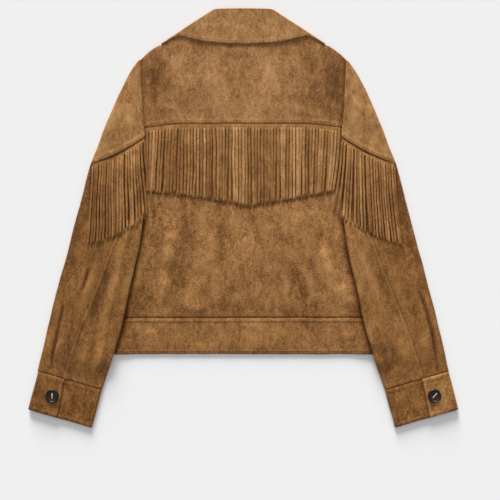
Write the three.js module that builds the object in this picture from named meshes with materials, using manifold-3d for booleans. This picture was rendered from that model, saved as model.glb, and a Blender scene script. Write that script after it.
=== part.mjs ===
// Fringed buckskin jacket, laid flat face down: the back, the back of both sleeves and the collar are on top.
// Millimetres. X runs across the jacket (+X is the wearer's right), Y runs from hem (-) to collar (+), Z is up from the
// surface it lies on. Every cloth piece is a wall of WALL, built from rows of sections; pieces that go round a fold
// carry a half-round of stations at that fold. Layers that lie on each other are LAYER apart, seams are SEAM apart.
import * as THREE from 'three';
import { mergeVertices } from 'three/addons/utils/BufferGeometryUtils.js';
import Module from 'manifold-3d';

// ---------------------------------------------------------------- sizes
const WALL = 1.6;            // suede wall
const LAYER = 0.4;           // air between layers that lie on each other
const SEAM = 0.34;           // between two pieces at a seam
const PAIR = 2 * WALL + LAYER; // two walls lying on each other
const FOLD_LOFT = 2.9;       // how much the cloth stands open where it turns over at a fold
const OVER = PAIR + FOLD_LOFT + 0.6; // underside of a sleeve where it rides on the side of the body
const WING = WALL + 0.6;     // the fronts rise by this over the front half of the collar

const HEM_Y = -230, BAND_Y = -170;          // hem edge, seam of the hem band
const UNDERARM = [170, -3];
const CUFF_IN = [241, -292], CUFF_OUT = [349.4, -260.7];      // ends of the cuff seam
const HEMC_IN = [258.3, -356.5], HEMC_OUT = [366, -325];      // bottom corners of the cuff
const SPLIT_TOP = 0.58, SPLIT_BOTTOM = 0.545, UNDERLAP = 0.2; // where the cuff laps, as shares of its width
const YOKE_A = [166.8, 137.4], YOKE_M = [208, 112.6], YOKE_E = [256, 93.5]; // sleeve yoke seam: armhole, middle, outer fold
const BUTTON = { x: 324.3, y: -302, dia: 23, thick: 3.4, rim: 0.8, hole: 2.4, pitch: 5.4 };
const FRINGE_T = 2.2;        // thickness of the layer of strands

// half widths in x at heights y
const ARMHOLE = [            // y, x: seam between body and sleeve
  { y: -3, x: 170 }, { y: 54.3, x: 165.2 }, { y: 137.4, x: 166.8 }, { y: 212, x: 172.3 }, { y: 268.6, x: 175 },
];
const SIDE = [               // y, x: side fold of the body, under the sleeves
  { y: -300, x: 250 }, { y: HEM_Y, x: 236 }, { y: BAND_Y, x: 224 }, { y: -100, x: 208 }, { y: -40, x: 196 },
  { y: -18, x: 186 }, { y: -3, x: 170 },
];
const SLEEVE_OUTER = [       // y, x: fold along the outside of the sleeve
  { y: -325, x: 366 }, { y: -260.7, x: 350 }, { y: -221, x: 341 }, { y: -180, x: 331.5 }, { y: -139, x: 321 },
  { y: -99, x: 311 }, { y: -58, x: 299 }, { y: -17, x: 289 }, { y: 24, x: 277.5 }, { y: 65, x: 268 },
  { y: 93.5, x: 259.5 }, { y: 119, x: 249.5 }, { y: 160, x: 234 }, { y: 201, x: 216.5 }, { y: 241, x: 197 },
  { y: 262, x: 184 }, { y: 268.6, x: 178.5 },
];
const SLEEVE_INNER = [       // y, x: fold along the inside of the sleeve, lying over the body
  { y: -292, x: 241 }, { y: -253, x: 227 }, { y: -209, x: 213 }, { y: -172, x: 203 }, { y: -121, x: 192.8 },
  { y: -88, x: 184.5 }, { y: -52, x: 176.5 }, { y: -3, x: 170 },
];
const SHOULDER = [           // x, y: shoulder line, from the neck to the armhole
  { x: 88, y: 327.4 }, { x: 140, y: 293.4 }, { x: 145, y: 293.2 }, { x: 161.5, y: 281.5 }, { x: 175, y: 269 },
];
const BACK_NECK = [{ x: 0, y: 322 }, { x: 36.75, y: 322.5 }, { x: 60, y: 324 }, { x: 82, y: 326.6 }, { x: 88, y: 327.4 }];
const FRONT_NECK = [{ x: 0, y: 262 }, { x: 14, y: 264 }, { x: 36.75, y: 269 }, { x: 60, y: 281 }, { x: 82, y: 309 }, { x: 88, y: 327.4 }];
const BACK_YOKE = [          // x, y: seam of the back yoke
  { x: 0, y: 160.5 }, { x: 105, y: 160 }, { x: 128, y: 158.5 }, { x: 168, y: 153 },
];
const FRINGE_HEM = [         // x, y: lower ends of the back fringe, a shallow V
  { x: -156, y: 45 }, { x: -99, y: 39 }, { x: -40, y: 30 }, { x: 10, y: 20 }, { x: 62, y: 29 }, { x: 99, y: 35 }, { x: 156, y: 45 },
];
const SLEEVE_FRINGE = [      // x, top y at the yoke seam, lower end y
  { x: 162, top: 137.6, low: 16 }, { x: 182, top: 127.5, low: -6 }, { x: 208, top: 112, low: -26 },
  { x: 234, top: 101.5, low: -40 }, { x: 262, top: 92, low: -49 },
];
const DRAPE = [              // soft folds of the back below the fringe: centre line x at y -150 and at y 0, width, rise
  { x0: -128, x1: -104, w: 34, rise: 1.3 }, { x0: -66, x1: -60, w: 40, rise: 1.0 }, { x0: 30, x1: 18, w: 46, rise: 1.1 },
  { x0: 108, x1: 92, w: 36, rise: 1.4 }, { x0: 152, x1: 138, w: 22, rise: 1.0 },
];
const COLOUR = {
  yoke: 0x966b43, back: 0x8d643b, band: 0x8b633a, front: 0x875f38, collar: 0xa1784e, cap: 0xa37c54,
  sleeve: 0x7f5c35, under: 0x86623a, cuff: 0x765129, fringe: 0x8a633a, button: 0x38291a,
};

// ---------------------------------------------------------------- helpers
const lerp = (a, b, t) => a + (b - a) * t;
const mix = (p, q, t) => [lerp(p[0], q[0], t), lerp(p[1], q[1], t)];
const step = (t) => { const c = Math.min(1, Math.max(0, t)); return c * c * (3 - 2 * c); };
function table(rows, from, to) {
  const s = [...rows].sort((a, b) => a[from] - b[from]);
  return (v) => {
    if (v <= s[0][from]) return s[0][to];
    for (let i = 1; i < s.length; i++) if (v <= s[i][from]) return lerp(s[i - 1][to], s[i][to], (v - s[i - 1][from]) / (s[i][from] - s[i - 1][from]));
    return s[s.length - 1][to];
  };
}
const armhole = table(ARMHOLE, 'y', 'x'), side = table(SIDE, 'y', 'x');
const outerX = table(SLEEVE_OUTER, 'y', 'x'), innerX = table(SLEEVE_INNER, 'y', 'x');
const shoulderY = table(SHOULDER, 'x', 'y'), backNeck = table(BACK_NECK, 'x', 'y'), frontNeck = table(FRONT_NECK, 'x', 'y');
const yokeY = table(BACK_YOKE, 'x', 'y'), fringeHem = table(FRINGE_HEM, 'x', 'y');
const bodyHalf = (y) => (y < UNDERARM[1] ? side(y) : armhole(y));
// outward normal in plan of an edge given as x(y)
function edgeNormal(xOf, y, out) {
  const d = (xOf(y + 9) - xOf(y - 9)) / 18, n = Math.hypot(1, d);
  return [out / n, (-out * d) / n];
}

// closed wall from rows of stations {o: outer point, i: inner point}
function wall(rows) {
  const R = rows.length, C = rows[0].length, pos = [], idx = [];
  for (const k of ['o', 'i']) for (const r of rows) for (const p of r) pos.push(...p[k]);
  const O = (i, j) => i * C + j, I = (i, j) => R * C + i * C + j;
  const quad = (a, b, c, d) => idx.push(a, b, c, a, c, d);
  for (let i = 0; i < R - 1; i++) for (let j = 0; j < C - 1; j++) {
    quad(O(i, j), O(i, j + 1), O(i + 1, j + 1), O(i + 1, j));
    idx.push(I(i, j), I(i + 1, j + 1), I(i, j + 1), I(i, j), I(i + 1, j), I(i + 1, j + 1));
  }
  for (let j = 0; j < C - 1; j++) {
    quad(I(0, j), I(0, j + 1), O(0, j + 1), O(0, j));
    quad(O(R - 1, j), O(R - 1, j + 1), I(R - 1, j + 1), I(R - 1, j));
  }
  for (let i = 0; i < R - 1; i++) {
    quad(O(i, 0), O(i + 1, 0), I(i + 1, 0), I(i, 0));
    quad(I(i, C - 1), I(i + 1, C - 1), O(i + 1, C - 1), O(i, C - 1));
  }
  return solid(pos, idx);
}
// indexed geometry facing outwards
function solid(pos, idx) {
  let vol = 0;
  for (let t = 0; t < idx.length; t += 3) {
    const [a, b, c] = [0, 1, 2].map((k) => new THREE.Vector3().fromArray(pos, 3 * idx[t + k]));
    vol += a.dot(b.cross(c)) / 6;
  }
  if (vol < 0) for (let t = 0; t < idx.length; t += 3) [idx[t + 1], idx[t + 2]] = [idx[t + 2], idx[t + 1]];
  const g = new THREE.BufferGeometry();
  g.setAttribute('position', new THREE.Float32BufferAttribute(pos, 3));
  g.setIndex(idx);
  g.computeVertexNormals();
  return g;
}
function mirrored(g) {
  const pos = Array.from(g.attributes.position.array), idx = Array.from(g.index.array);
  for (let i = 0; i < pos.length; i += 3) pos[i] = -pos[i];
  return solid(pos, idx);
}
const flat = (x, y, z, up = 1) => ({ o: [x, y, z], i: [x, y, z - up * WALL] });
// stations round a fold: plan point on the fold line, outward normal, top and bottom heights, angles from straight up
// (split says that the fold is a seam: the stations of each half stop short of the other half)
function fold(p, n, top, bottom, angles, split = false) {
  const r = (top - bottom) / 2, zc = (top + bottom) / 2, c = [p[0] - n[0] * r, p[1] - n[1] * r];
  const at = (a, q) => [c[0] + n[0] * q * Math.sin(a), c[1] + n[1] * q * Math.sin(a), zc + q * Math.cos(a)];
  const clear = (q, deg) => { if (split) q[2] = deg < 90 ? Math.max(q[2], zc + SEAM / 2) : Math.min(q[2], zc - SEAM / 2); return q; };
  return angles.map((deg) => { const a = (deg * Math.PI) / 180; return { o: clear(at(a, r), deg), i: clear(at(a, Math.max(r - WALL, 0.12)), deg) }; });
}

// ---------------------------------------------------------------- heights of the layers
const lift = (x, y) => WING * step((y - 190) / 21) * (1 - step((Math.abs(x) - 141) / 25));
const sideLoft = (x, y) => FOLD_LOFT * step((Math.abs(x) - (bodyHalf(y) - 58)) / 48) * step((-8 - y) / 40);
function drape(x, y) {
  let z = 0;
  for (const d of DRAPE) {
    const c = lerp(d.x0, d.x1, (y + 150) / 150), u = Math.abs(x - c) / d.w;
    if (u < 1) z += d.rise * (1 - step(u));
  }
  return z * step((8 - y) / 40) * step((y + 172) / 26);
}
const backZ = (x, y) => lift(x, y) + PAIR + sideLoft(x, y) + drape(x, y);
const frontZ = (x, y) => lift(x, y);

// ---------------------------------------------------------------- body
const COLS = [0, 0.08, 0.21, 0.343, 0.469, 0.503, 0.651, 0.8, 0.92, 1]; // shares of the half width
const FOLD_DEG = [35, 65, 86];
// stations from the centre to the side of one row; yAt(x) is the row's height at x
function halfRow(yAt, ySide, isFront) {
  const open = ySide < UNDERARM[1] - 0.01, half = bodyHalf(ySide) - (open ? 0 : SEAM / 2);
  const top = backZ(half - 3, ySide), bottom = frontZ(half - 3, ySide), r = (top - bottom) / 2;
  const row = COLS.map((f, j) => {
    const x = Math.max(f * (half - r), isFront ? 0.6 : 0), y = yAt(f * half);
    return isFront ? flat(x, y, frontZ(x, y), -1) : flat(x, y, backZ(x, y));
  });
  if (open) row.push(...fold([half, ySide], [1, 0], top, bottom, FOLD_DEG.map((d) => (isFront ? 180 - d : d)), true));
  else for (const k of [1, 2, 3]) {
    const x = half - r + (r * k) / 3, y = yAt(x);
    row.push(isFront ? flat(x, y, frontZ(x, y), -1) : flat(x, y, backZ(x, y)));
  }
  return row;
}
const across = (half) => [...half.slice(1).reverse().map((p) => ({ o: [-p.o[0], p.o[1], p.o[2]], i: [-p.i[0], p.i[1], p.i[2]] })), ...half];
const LEVELS = [BAND_Y + SEAM / 2, -135, -95, -60, -38, -18, -3, 54.3, 137.4];
const backRows = LEVELS.map((y) => halfRow(() => y, y, false));
const backPanel = wall([...backRows, halfRow((x) => yokeY(x) - SEAM / 2, 153, false)].map(across));
const topOf = (neck) => (x) => (x < 88 ? neck(x) : shoulderY(x));
const ruled = (t, neck) => (x) => lerp(212, topOf(neck)(x), t);
const backYoke = wall([
  halfRow((x) => yokeY(x) + SEAM / 2, 153 + SEAM / 2, false), halfRow(() => 190, 190, false), halfRow(() => 212, 212, false),
  halfRow(ruled(0.5, backNeck), 242, false), halfRow(ruled(1, backNeck), 268.6, false),
].map(across));
const front = wall([
  ...LEVELS.map((y) => halfRow(() => y, y, true)), halfRow(() => 190, 190, true), halfRow(() => 212, 212, true),
  halfRow(ruled(0.5, frontNeck), 242, true), halfRow(ruled(1, frontNeck), 268.6, true),
]);
// hem band: one strip from the front edge round both sides to the other front edge
const bandRow = (y) => {
  const half = bodyHalf(y), top = backZ(half - 3, BAND_Y), n = [1, 0];
  const upper = [0, 0.25, 0.5, 0.72, 0.86, 1].map((f) => { const x = f * (half - top / 2); return flat(x, y, PAIR + sideLoft(x, y)); });
  const lower = [0.55, 0].map((f) => flat(Math.max(f * (half - top / 2), 0.6), y, 0, -1));
  return across([...upper, ...fold([half, y], n, top, 0, [35, 65, 90, 115, 145, 180]), ...lower]);
};
const hemBand = wall([BAND_Y - SEAM / 2, -200, HEM_Y].map(bandRow));

// ---------------------------------------------------------------- sleeves (built on +X, mirrored for -X)
const ARM_SHARE = 0.588, MID_SHARE = 0.77;
// plan curve of the upper edge of the lower sleeve: up the armhole, then along the sleeve yoke seam
function headCurve(s) {
  if (s <= ARM_SHARE) { const y = lerp(UNDERARM[1], YOKE_A[1], s / ARM_SHARE); return [armhole(y) + SEAM / 2, y]; }
  return s <= MID_SHARE ? mix(YOKE_A, YOKE_M, (s - ARM_SHARE) / (MID_SHARE - ARM_SHARE)) : mix(YOKE_M, YOKE_E, (s - MID_SHARE) / (1 - MID_SHARE));
}
const innerAt = (v) => { const y = lerp(UNDERARM[1], CUFF_IN[1], v); return [innerX(y) + (v === 0 ? SEAM / 2 : 0), y]; };
const outerAt = (v) => { const y = lerp(YOKE_E[1], CUFF_OUT[1], v); return [outerX(y), y]; };
const R0 = (PAIR + FOLD_LOFT) / 2;
function plan(s, v) {
  const no = edgeNormal(outerX, outerAt(v)[1], 1), ni = edgeNormal(innerX, innerAt(v)[1], -1);
  const keep = v === 0 ? 0.4 : 1;
  const a = innerAt(v), b = outerAt(v), A = [a[0] - ni[0] * R0 * keep, a[1] - ni[1] * R0 * keep], B = [b[0] - no[0] * R0, b[1] - no[1] * R0];
  const p = mix(A, B, s), k = Math.pow(1 - v, 1.6);
  if (k > 0) {
    const h = headCurve(s), a0 = headCurve(0), b0 = headCurve(1), c = mix(a0, b0, s);
    p[0] += k * (h[0] - c[0]); p[1] += k * (h[1] - c[1]);
  }
  return p;
}
const outside = (p) => Math.max(p[0] - side(p[1]), p[1] - UNDERARM[1]); // distance out of the body below the underarm
function rampStart(v) { // share of the width at which the sleeve has cleared the side of the body
  if (v === 0) return 0.04;
  let s = 0.02;
  while (s < 0.4 && outside(plan(s, v)) < 3.2) s += 0.004;
  return Math.max(0.04, s);
}
const RAMPS = new Map();
const ramp = (v) => { if (!RAMPS.has(v)) { const s1 = rampStart(v); RAMPS.set(v, [s1, Math.min(s1 + (v === 0 ? 0.08 : 0.135), backSeam(v) - 0.035)]); } return RAMPS.get(v); };
const backSeam = (v) => (v < 0.2 ? lerp(0.36, 0.405, v / 0.2) : v < 0.55 ? lerp(0.405, 0.485, (v - 0.2) / 0.35) : v < 0.82 ? lerp(0.485, 0.55, (v - 0.55) / 0.27) : lerp(0.55, 0.557, (v - 0.82) / 0.18));
function underZ(s, v) { // underside of the sleeve: on the body near its inner fold, on the surface beyond
  const [s1, s2] = ramp(v), along = 1 - step((v - 0.83) / 0.09);
  return OVER * along * (1 - Math.min(1, Math.max(0, (s - s1) / (s2 - s1))));
}
const PLEAT = 0.82;
function overZ(s, v) {
  const p = plan(s, v), open = Math.max(step((p[0] - 172) / 42), step((4 - p[1]) / 40));
  const d = s - PLEAT, k = step((v - 0.42) / 0.4);
  const pleat = Math.abs(d) < 0.005 ? -0.5 : d > 0 && d < 0.03 ? 0.9 : 0;
  return underZ(s, v) + PAIR + FOLD_LOFT * open + pleat * k;
}
const SEAM_S = (v) => (1 + 3 * Math.max(0, 1 - v / 0.3)) * (SEAM / 2) / Math.max(60, Math.hypot(...[0, 1].map((k) => outerAt(v)[k] - innerAt(v)[k])));
const topStation = (s, v) => { const p = plan(s, v); return flat(p[0], p[1], overZ(s, v)); };
const lowStation = (s, v) => { const p = plan(s, v); return flat(p[0], p[1], underZ(s, v), -1); };
const VS = [0, 0.05, 0.1, 0.17, 0.27, 0.4, 0.54, 0.68, 0.82, 0.92, 1];
const shiftY = (st, v) => { // seam gaps at both ends of the sleeve
  const d = v === 0 ? -SEAM / 2 : 0;
  for (const k of ['o', 'i']) st[k][1] += d;
  return st;
};
function sleeveFolds(v, inner, angles) {
  const p = inner ? innerAt(v) : outerAt(v), n = inner ? edgeNormal(innerX, p[1], -1) : edgeNormal(outerX, p[1], 1);
  return fold(p, n, overZ(inner ? 0 : 1, v), underZ(inner ? 0 : 1, v), angles, inner);
}
const underRow = (v) => {
  const [s1, s2] = ramp(v), e = backSeam(v) - SEAM_S(v);
  return [...sleeveFolds(v, true, [84, 55, 28]), ...[0, s1, s2, (s2 + backSeam(v)) / 2, e].map((s) => topStation(s, v))].map((p) => shiftY(p, v));
};
const upperRow = (v) => {
  const [s1, s2] = ramp(v), b = backSeam(v), c3 = (s2 + b) / 2;
  const m1 = lerp(ARM_SHARE, 0.65, step(v * 2)), m2 = lerp(MID_SHARE, 0.74, step(v * 2));
  return [...[b + SEAM_S(v), m1, m2, PLEAT - 0.025, PLEAT, PLEAT + 0.02, 0.9, 1].map((s) => topStation(s, v)),
    ...sleeveFolds(v, false, [40, 90, 140]),
    ...[1, m2, m1, c3, s2, s1, 0].map((s) => lowStation(s, v)),
    ...sleeveFolds(v, true, [152, 125, 96])].map((p) => shiftY(p, v));
};
const sleeveUnder = wall(VS.map(underRow));
const sleeveUpper = wall(VS.map(upperRow));

// sleeve yoke: rows fan from the shoulder tip to the sleeve yoke seam, over the outer fold and back underneath
const capRow = (t) => {
  const ya = lerp(262, YOKE_A[1], t), yo = lerp(262, YOKE_E[1], t), n = edgeNormal(outerX, yo, 1);
  const a = [armhole(ya) + SEAM / 2, ya], o = [outerX(yo), yo], m = 0.45;
  const inset = [o[0] - n[0] * R0, o[1] - n[1] * R0];
  const end = t === 1 ? [YOKE_M[0], YOKE_M[1]] : null;
  const pt = (b) => { const p = mix(a, inset, b); if (b === m) { const k = t * t, c = mix(YOKE_A, YOKE_E, m); p[0] += k * (YOKE_M[0] - c[0]); p[1] += k * (YOKE_M[1] - c[1]); } return end && b === m ? end : p; };
  const open = (p) => FOLD_LOFT * step((p[0] - 172) / 42);
  const up = [0, m, 1].map((b) => { const p = pt(b); return flat(p[0], p[1], PAIR + open(p)); });
  const down = [1, m, 0].map((b) => { const p = pt(b); return flat(p[0], p[1], 0, -1); });
  const row = [...up, ...fold(o, n, PAIR + open(inset), 0, [40, 90, 140]), ...down];
  if (t === 1) for (const s of row) for (const k of ['o', 'i']) s[k][1] += SEAM / 2;
  return row;
};
const T212 = (262 - 212) / (262 - YOKE_A[1]);
const sleeveYoke = wall([0, 0.2, T212, 0.7, 1].map(capRow));

// cuff: one strip from the free end of its tab, round the outer fold, under, round the inner fold and beneath the tab
const TAB = PAIR + FOLD_LOFT + LAYER + WALL;
const cuffRow = (v) => {
  const g = 0.8, a = mix(CUFF_IN, HEMC_IN, v), b = mix(CUFF_OUT, HEMC_OUT, v), drop = v === 0 ? g : 0;
  const len = Math.hypot(b[0] - a[0], b[1] - a[1]), e = [(b[0] - a[0]) / len, (b[1] - a[1]) / len];
  a[1] -= drop; b[1] -= drop;
  const rt = TAB / 2, ri = (PAIR + FOLD_LOFT) / 2, at = (q) => [a[0] + e[0] * q, a[1] + e[1] * q];
  const q0 = lerp(SPLIT_TOP, SPLIT_BOTTOM, v) * len, st = (q, z, up) => { const p = at(q); return flat(p[0], p[1], z, up); };
  return [...[q0, lerp(q0, len - rt, 0.5), len - rt].map((q) => st(q, TAB, 1)), ...fold(b, e, TAB, 0, [40, 90, 140]),
    ...[len - rt, len * 0.5, ri].map((q) => st(q, 0, -1)), ...fold(a, [-e[0], -e[1]], PAIR + FOLD_LOFT, 0, [140, 90, 40]),
    ...[ri, q0, q0 + UNDERLAP * len].map((q) => st(q, PAIR + FOLD_LOFT, 1))];
};
const cuff = wall([0, 0.5, 1].map(cuffRow));

// ---------------------------------------------------------------- collar: leaf and stand in one, turned over at its top
// edge and creased round both sides of the neck to the front; k 0..1 is the back half, 1..2 the hidden front half
const LEAF_Z = WING + PAIR + LAYER + WALL, CR = LEAF_Z / 2, TURN = PAIR / 2;
const CREASE = { n: [0.547, 0.837] };
const COLLAR = [ // k, edge of the leaf, turned-over top edge, neck seam
  { k: 0, lx: 0, ly: 296, tx: 0, ty: 354.7, nx: 0, ny: 322.4 }, { k: 0.22, lx: 30, ly: 296.7, tx: 12, ty: 354.7, nx: 22, ny: 322.8 },
  { k: 0.45, lx: 62, ly: 299, tx: 25, ty: 354.7, nx: 44, ny: 323.8 }, { k: 0.68, lx: 92, ly: 306.3, tx: 37, ty: 354.2, nx: 63, ny: 325.8 },
  { k: 0.84, lx: 110, ly: 309.3, tx: 43.5, ty: 353, nx: 74, ny: 328 }, { k: 1, lx: 138.4, ly: 295.3, tx: 48.5, ty: 351.5, nx: 80.5, ny: 331 },
];
const WINGS = [
  { k: 1, lx: 138.4, ly: 295.3, tx: 48.5, ty: 351.5, nx: 80.5, ny: 331 }, { k: 1.3, lx: 134, ly: 272, tx: 50, ty: 334, nx: 76, ny: 312 },
  { k: 1.65, lx: 120, ly: 244, tx: 36, ty: 300, nx: 54, ny: 284 }, { k: 2, lx: 92, ly: 221, tx: 10, ty: 279, nx: 13, ny: 267.5 },
];
function collarRow(c, height, dx, dy) {
  // height(depth) gives z of a layer lying `depth` below the leaf's outer face; dx, dy(depth) its shift in plan
  const L = [c.lx, c.ly], T = [c.tx, c.ty], N = [c.nx, c.ny];
  const len = Math.hypot(T[0] - L[0], T[1] - L[1]), m = c.k <= 1 ? [(T[0] - L[0]) / len, (T[1] - L[1]) / len] : [(T[0] - L[0]) / len, (T[1] - L[1]) / len];
  const at = (p, d, along = 0) => [p[0] + m[0] * along + dx(d), p[1] + m[1] * along + dy(d), height(d)];
  const lay = (p, d0, d1) => ({ o: at(p, d0), i: at(p, d1) });
  const turn = (deg) => { const a = (deg * Math.PI) / 180, q = TURN, w = 0.2; return { o: at(T, q - q * Math.cos(a), q * Math.sin(a)), i: at(T, q - w * Math.cos(a), w * Math.sin(a)) }; };
  return [...[0, 0.5, 1].map((t) => lay(mix(L, T, t), 0, WALL)), turn(45), turn(90), turn(135), ...[0, 0.5, 1].map((t) => lay(mix(T, N, t), PAIR, PAIR - WALL))];
}
const halfCollar = [
  ...COLLAR.map((c) => collarRow(c, (d) => LEAF_Z - d, () => 0, () => 0)),
  ...[45, 90, 135].map((deg) => {
    const a = (deg * Math.PI) / 180, q = (d) => CR - d;
    return collarRow(COLLAR[5], (d) => CR + q(d) * Math.cos(a), (d) => CREASE.n[0] * q(d) * Math.sin(a), (d) => CREASE.n[1] * q(d) * Math.sin(a));
  }),
  ...WINGS.map((c) => collarRow(c, (d) => d, () => 0, () => 0)),
];
const flipRow = (r) => r.map((p) => ({ o: [-p.o[0], p.o[1], p.o[2]], i: [-p.i[0], p.i[1], p.i[2]] }));
const collar = wall([...halfCollar.slice(1).reverse().map(flipRow), ...halfCollar]);

// ---------------------------------------------------------------- fringes: plain solids of the strands' reach
function heightOver(x, y, geoms) { // highest face of the pieces below, near a point
  let best = -Infinity;
  const near = [[0, 0], ...[0, 1, 2, 3, 4, 5, 6, 7].flatMap((k) => [6, 15].map((r) => [r * Math.cos((k * Math.PI) / 4), r * Math.sin((k * Math.PI) / 4)]))];
  for (const g of geoms) {
    const P = g.attributes.position, I = g.index;
    for (let t = 0; t < I.count; t += 3) {
      const [a, b, c] = [0, 1, 2].map((k) => new THREE.Vector3().fromBufferAttribute(P, I.getX(t + k)));
      const det = (b.y - c.y) * (a.x - c.x) + (c.x - b.x) * (a.y - c.y);
      if (Math.abs(det) < 1e-9) continue;
      for (const [dx, dy] of near) {
        const u = ((b.y - c.y) * (x + dx - c.x) + (c.x - b.x) * (y + dy - c.y)) / det;
        const w = ((c.y - a.y) * (x + dx - c.x) + (a.x - c.x) * (y + dy - c.y)) / det;
        if (u >= 0 && w >= 0 && u + w <= 1) best = Math.max(best, u * a.z + w * b.z + (1 - u - w) * c.z);
      }
    }
  }
  return best;
}
const layer = (x, y, z) => ({ o: [x, y, z + 0.35 + FRINGE_T], i: [x, y, z + 0.35] });
const FX = [-156, -126, -99, -70, -40, -15, 10, 36, 62, 80, 99, 126, 156];
const fringeBack = wall([0, 0.5, 1].map((t) => FX.map((x) => { const y = lerp(yokeY(Math.abs(x)) - 3, fringeHem(x), t); return layer(x, y, backZ(x, y)); })));
const under = [sleeveUpper, sleeveUnder, backPanel];
const sleeveFringe = wall([0.02, 0.3, 0.55, 0.78, 1].map((t) => SLEEVE_FRINGE.map((f) => {
  const y = lerp(f.top - 1.5, f.low, t);
  return layer(f.x, y, heightOver(f.x, y, under) + 0.5);
})));

// ---------------------------------------------------------------- cuff button, four holes
const wasm = await Module();
wasm.setup();
const toSolid = (geo) => {
  const g = geo.clone(); g.deleteAttribute('normal'); g.deleteAttribute('uv');
  const m = mergeVertices(g, 1e-4);
  return new wasm.Manifold(new wasm.Mesh({ numProp: 3, vertProperties: new Float32Array(m.attributes.position.array), triVerts: new Uint32Array(m.index.array) }));
};
const rb = BUTTON.dia / 2, tb = BUTTON.thick;
const disc = new THREE.LatheGeometry([[0, 0], [rb - 1.6, 0], [rb, 1.2], [rb - 0.3, tb], [rb - 2, tb], [rb - 3.2, tb - BUTTON.rim], [0, tb - BUTTON.rim]].map(([x, y]) => new THREE.Vector2(x, y)), 28);
disc.rotateX(Math.PI / 2);
let btn = toSolid(disc);
if (btn.volume() < 0) throw new Error('button profile runs the wrong way');
for (const [sx, sy] of [[1, 1], [1, -1], [-1, 1], [-1, -1]]) {
  const h = wasm.Manifold.cylinder(tb + 4, BUTTON.hole / 2, BUTTON.hole / 2, 8).translate([(sx * BUTTON.pitch) / 2, (sy * BUTTON.pitch) / 2, -2]);
  btn = btn.subtract(h);
}
const bm = btn.getMesh(), bp = [];
for (let i = 0; i < bm.numVert; i++) bp.push(...[0, 1, 2].map((k) => bm.vertProperties[i * bm.numProp + k]));
const button = solid(bp, Array.from(bm.triVerts));

// ---------------------------------------------------------------- scene graph
const jacket = new THREE.Group();
jacket.name = 'jacket';
function add(name, geometry, colour, roughness = 0.92) {
  const mesh = new THREE.Mesh(geometry, new THREE.MeshStandardMaterial({ color: colour, roughness, metalness: 0 }));
  mesh.name = name;
  jacket.add(mesh);
  return mesh;
}
add('back_yoke', backYoke, COLOUR.yoke);
add('back_panel', backPanel, COLOUR.back);
add('front_right', front, COLOUR.front);
add('front_left', mirrored(front), COLOUR.front);
add('hem_band', hemBand, COLOUR.band);
add('collar', collar, COLOUR.collar);
add('fringe_back', fringeBack, COLOUR.fringe);
for (const [sideName, make] of [['right', (g) => g], ['left', mirrored]]) {
  add(`sleeve_yoke_${sideName}`, make(sleeveYoke), COLOUR.cap);
  add(`sleeve_upper_${sideName}`, make(sleeveUpper), COLOUR.sleeve);
  add(`sleeve_under_${sideName}`, make(sleeveUnder), COLOUR.under);
  add(`cuff_${sideName}`, make(cuff), COLOUR.cuff);
  add(`fringe_sleeve_${sideName}`, make(sleeveFringe), COLOUR.fringe);
  const b = add(`button_${sideName}`, make(button), COLOUR.button, 0.35);
  b.position.set(sideName === 'right' ? BUTTON.x : -BUTTON.x, BUTTON.y, TAB + 0.3);
}
export default jacket;
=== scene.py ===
# Fringed buckskin jacket, laid flat with its back up. All making is in millimetres in the frame's axes
# (X across, Y hem to collar, Z up) and goes to metres when a mesh is written.
import bpy
import math
import numpy as np
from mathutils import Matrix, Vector
from mathutils.bvhtree import BVHTree


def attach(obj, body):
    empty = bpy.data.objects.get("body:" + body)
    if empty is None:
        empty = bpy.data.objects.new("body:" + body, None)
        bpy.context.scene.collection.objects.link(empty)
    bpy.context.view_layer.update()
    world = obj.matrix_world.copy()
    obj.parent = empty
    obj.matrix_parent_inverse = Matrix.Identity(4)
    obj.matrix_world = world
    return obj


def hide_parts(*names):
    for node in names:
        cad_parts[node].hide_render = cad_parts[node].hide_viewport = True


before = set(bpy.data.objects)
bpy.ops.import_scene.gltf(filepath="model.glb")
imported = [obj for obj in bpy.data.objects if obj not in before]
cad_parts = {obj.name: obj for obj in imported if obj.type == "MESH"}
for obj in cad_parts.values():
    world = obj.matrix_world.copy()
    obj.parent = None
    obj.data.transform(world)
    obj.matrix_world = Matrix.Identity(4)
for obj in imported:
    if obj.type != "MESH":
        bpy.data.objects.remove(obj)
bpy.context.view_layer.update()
SCENE = bpy.context.scene
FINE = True

# ------------------------------------------------------------------ camera and view
cam_data = bpy.data.cameras.new("camera")
cam_data.lens = 85.0
cam_data.sensor_width = 36.0
cam_data.clip_end = 50.0
cam = bpy.data.objects.new("camera", cam_data)
SCENE.collection.objects.link(cam)
cam.location = (0.0114, -0.0544, 0.006 + 0.850 / 36.0 * 85.0)
cam.rotation_euler = (0.0, 0.0, 0.0)
SCENE.camera = cam
SCENE.view_settings.view_transform = "Standard"
SCENE.view_settings.look = "None"

# ------------------------------------------------------------------ sizes shared with the solids (mm)
WALL, LAYER, SEAM = 1.6, 0.4, 0.34
PAIR = 2 * WALL + LAYER
FOLD_LOFT = 2.9
OVER = PAIR + FOLD_LOFT + 0.6
WING = WALL + 0.6
HEM_Y, BAND_Y = -231.4, -170.0
UNDERARM = (170.0, -3.0)
CUFF_IN, CUFF_OUT = np.array([241.0, -292.0]), np.array([349.4, -260.7])
HEMC_IN, HEMC_OUT = np.array([258.3, -356.5]), np.array([366.0, -325.0])
SPLIT_TOP, SPLIT_BOTTOM, UNDERLAP = 0.58, 0.545, 0.2
YOKE_A, YOKE_M, YOKE_E = np.array([166.8, 137.4]), np.array([208.0, 112.6]), np.array([256.0, 93.5])
BUTTON = dict(x=324.3, y=-302.0, dia=23.0, thick=3.4)

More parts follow.
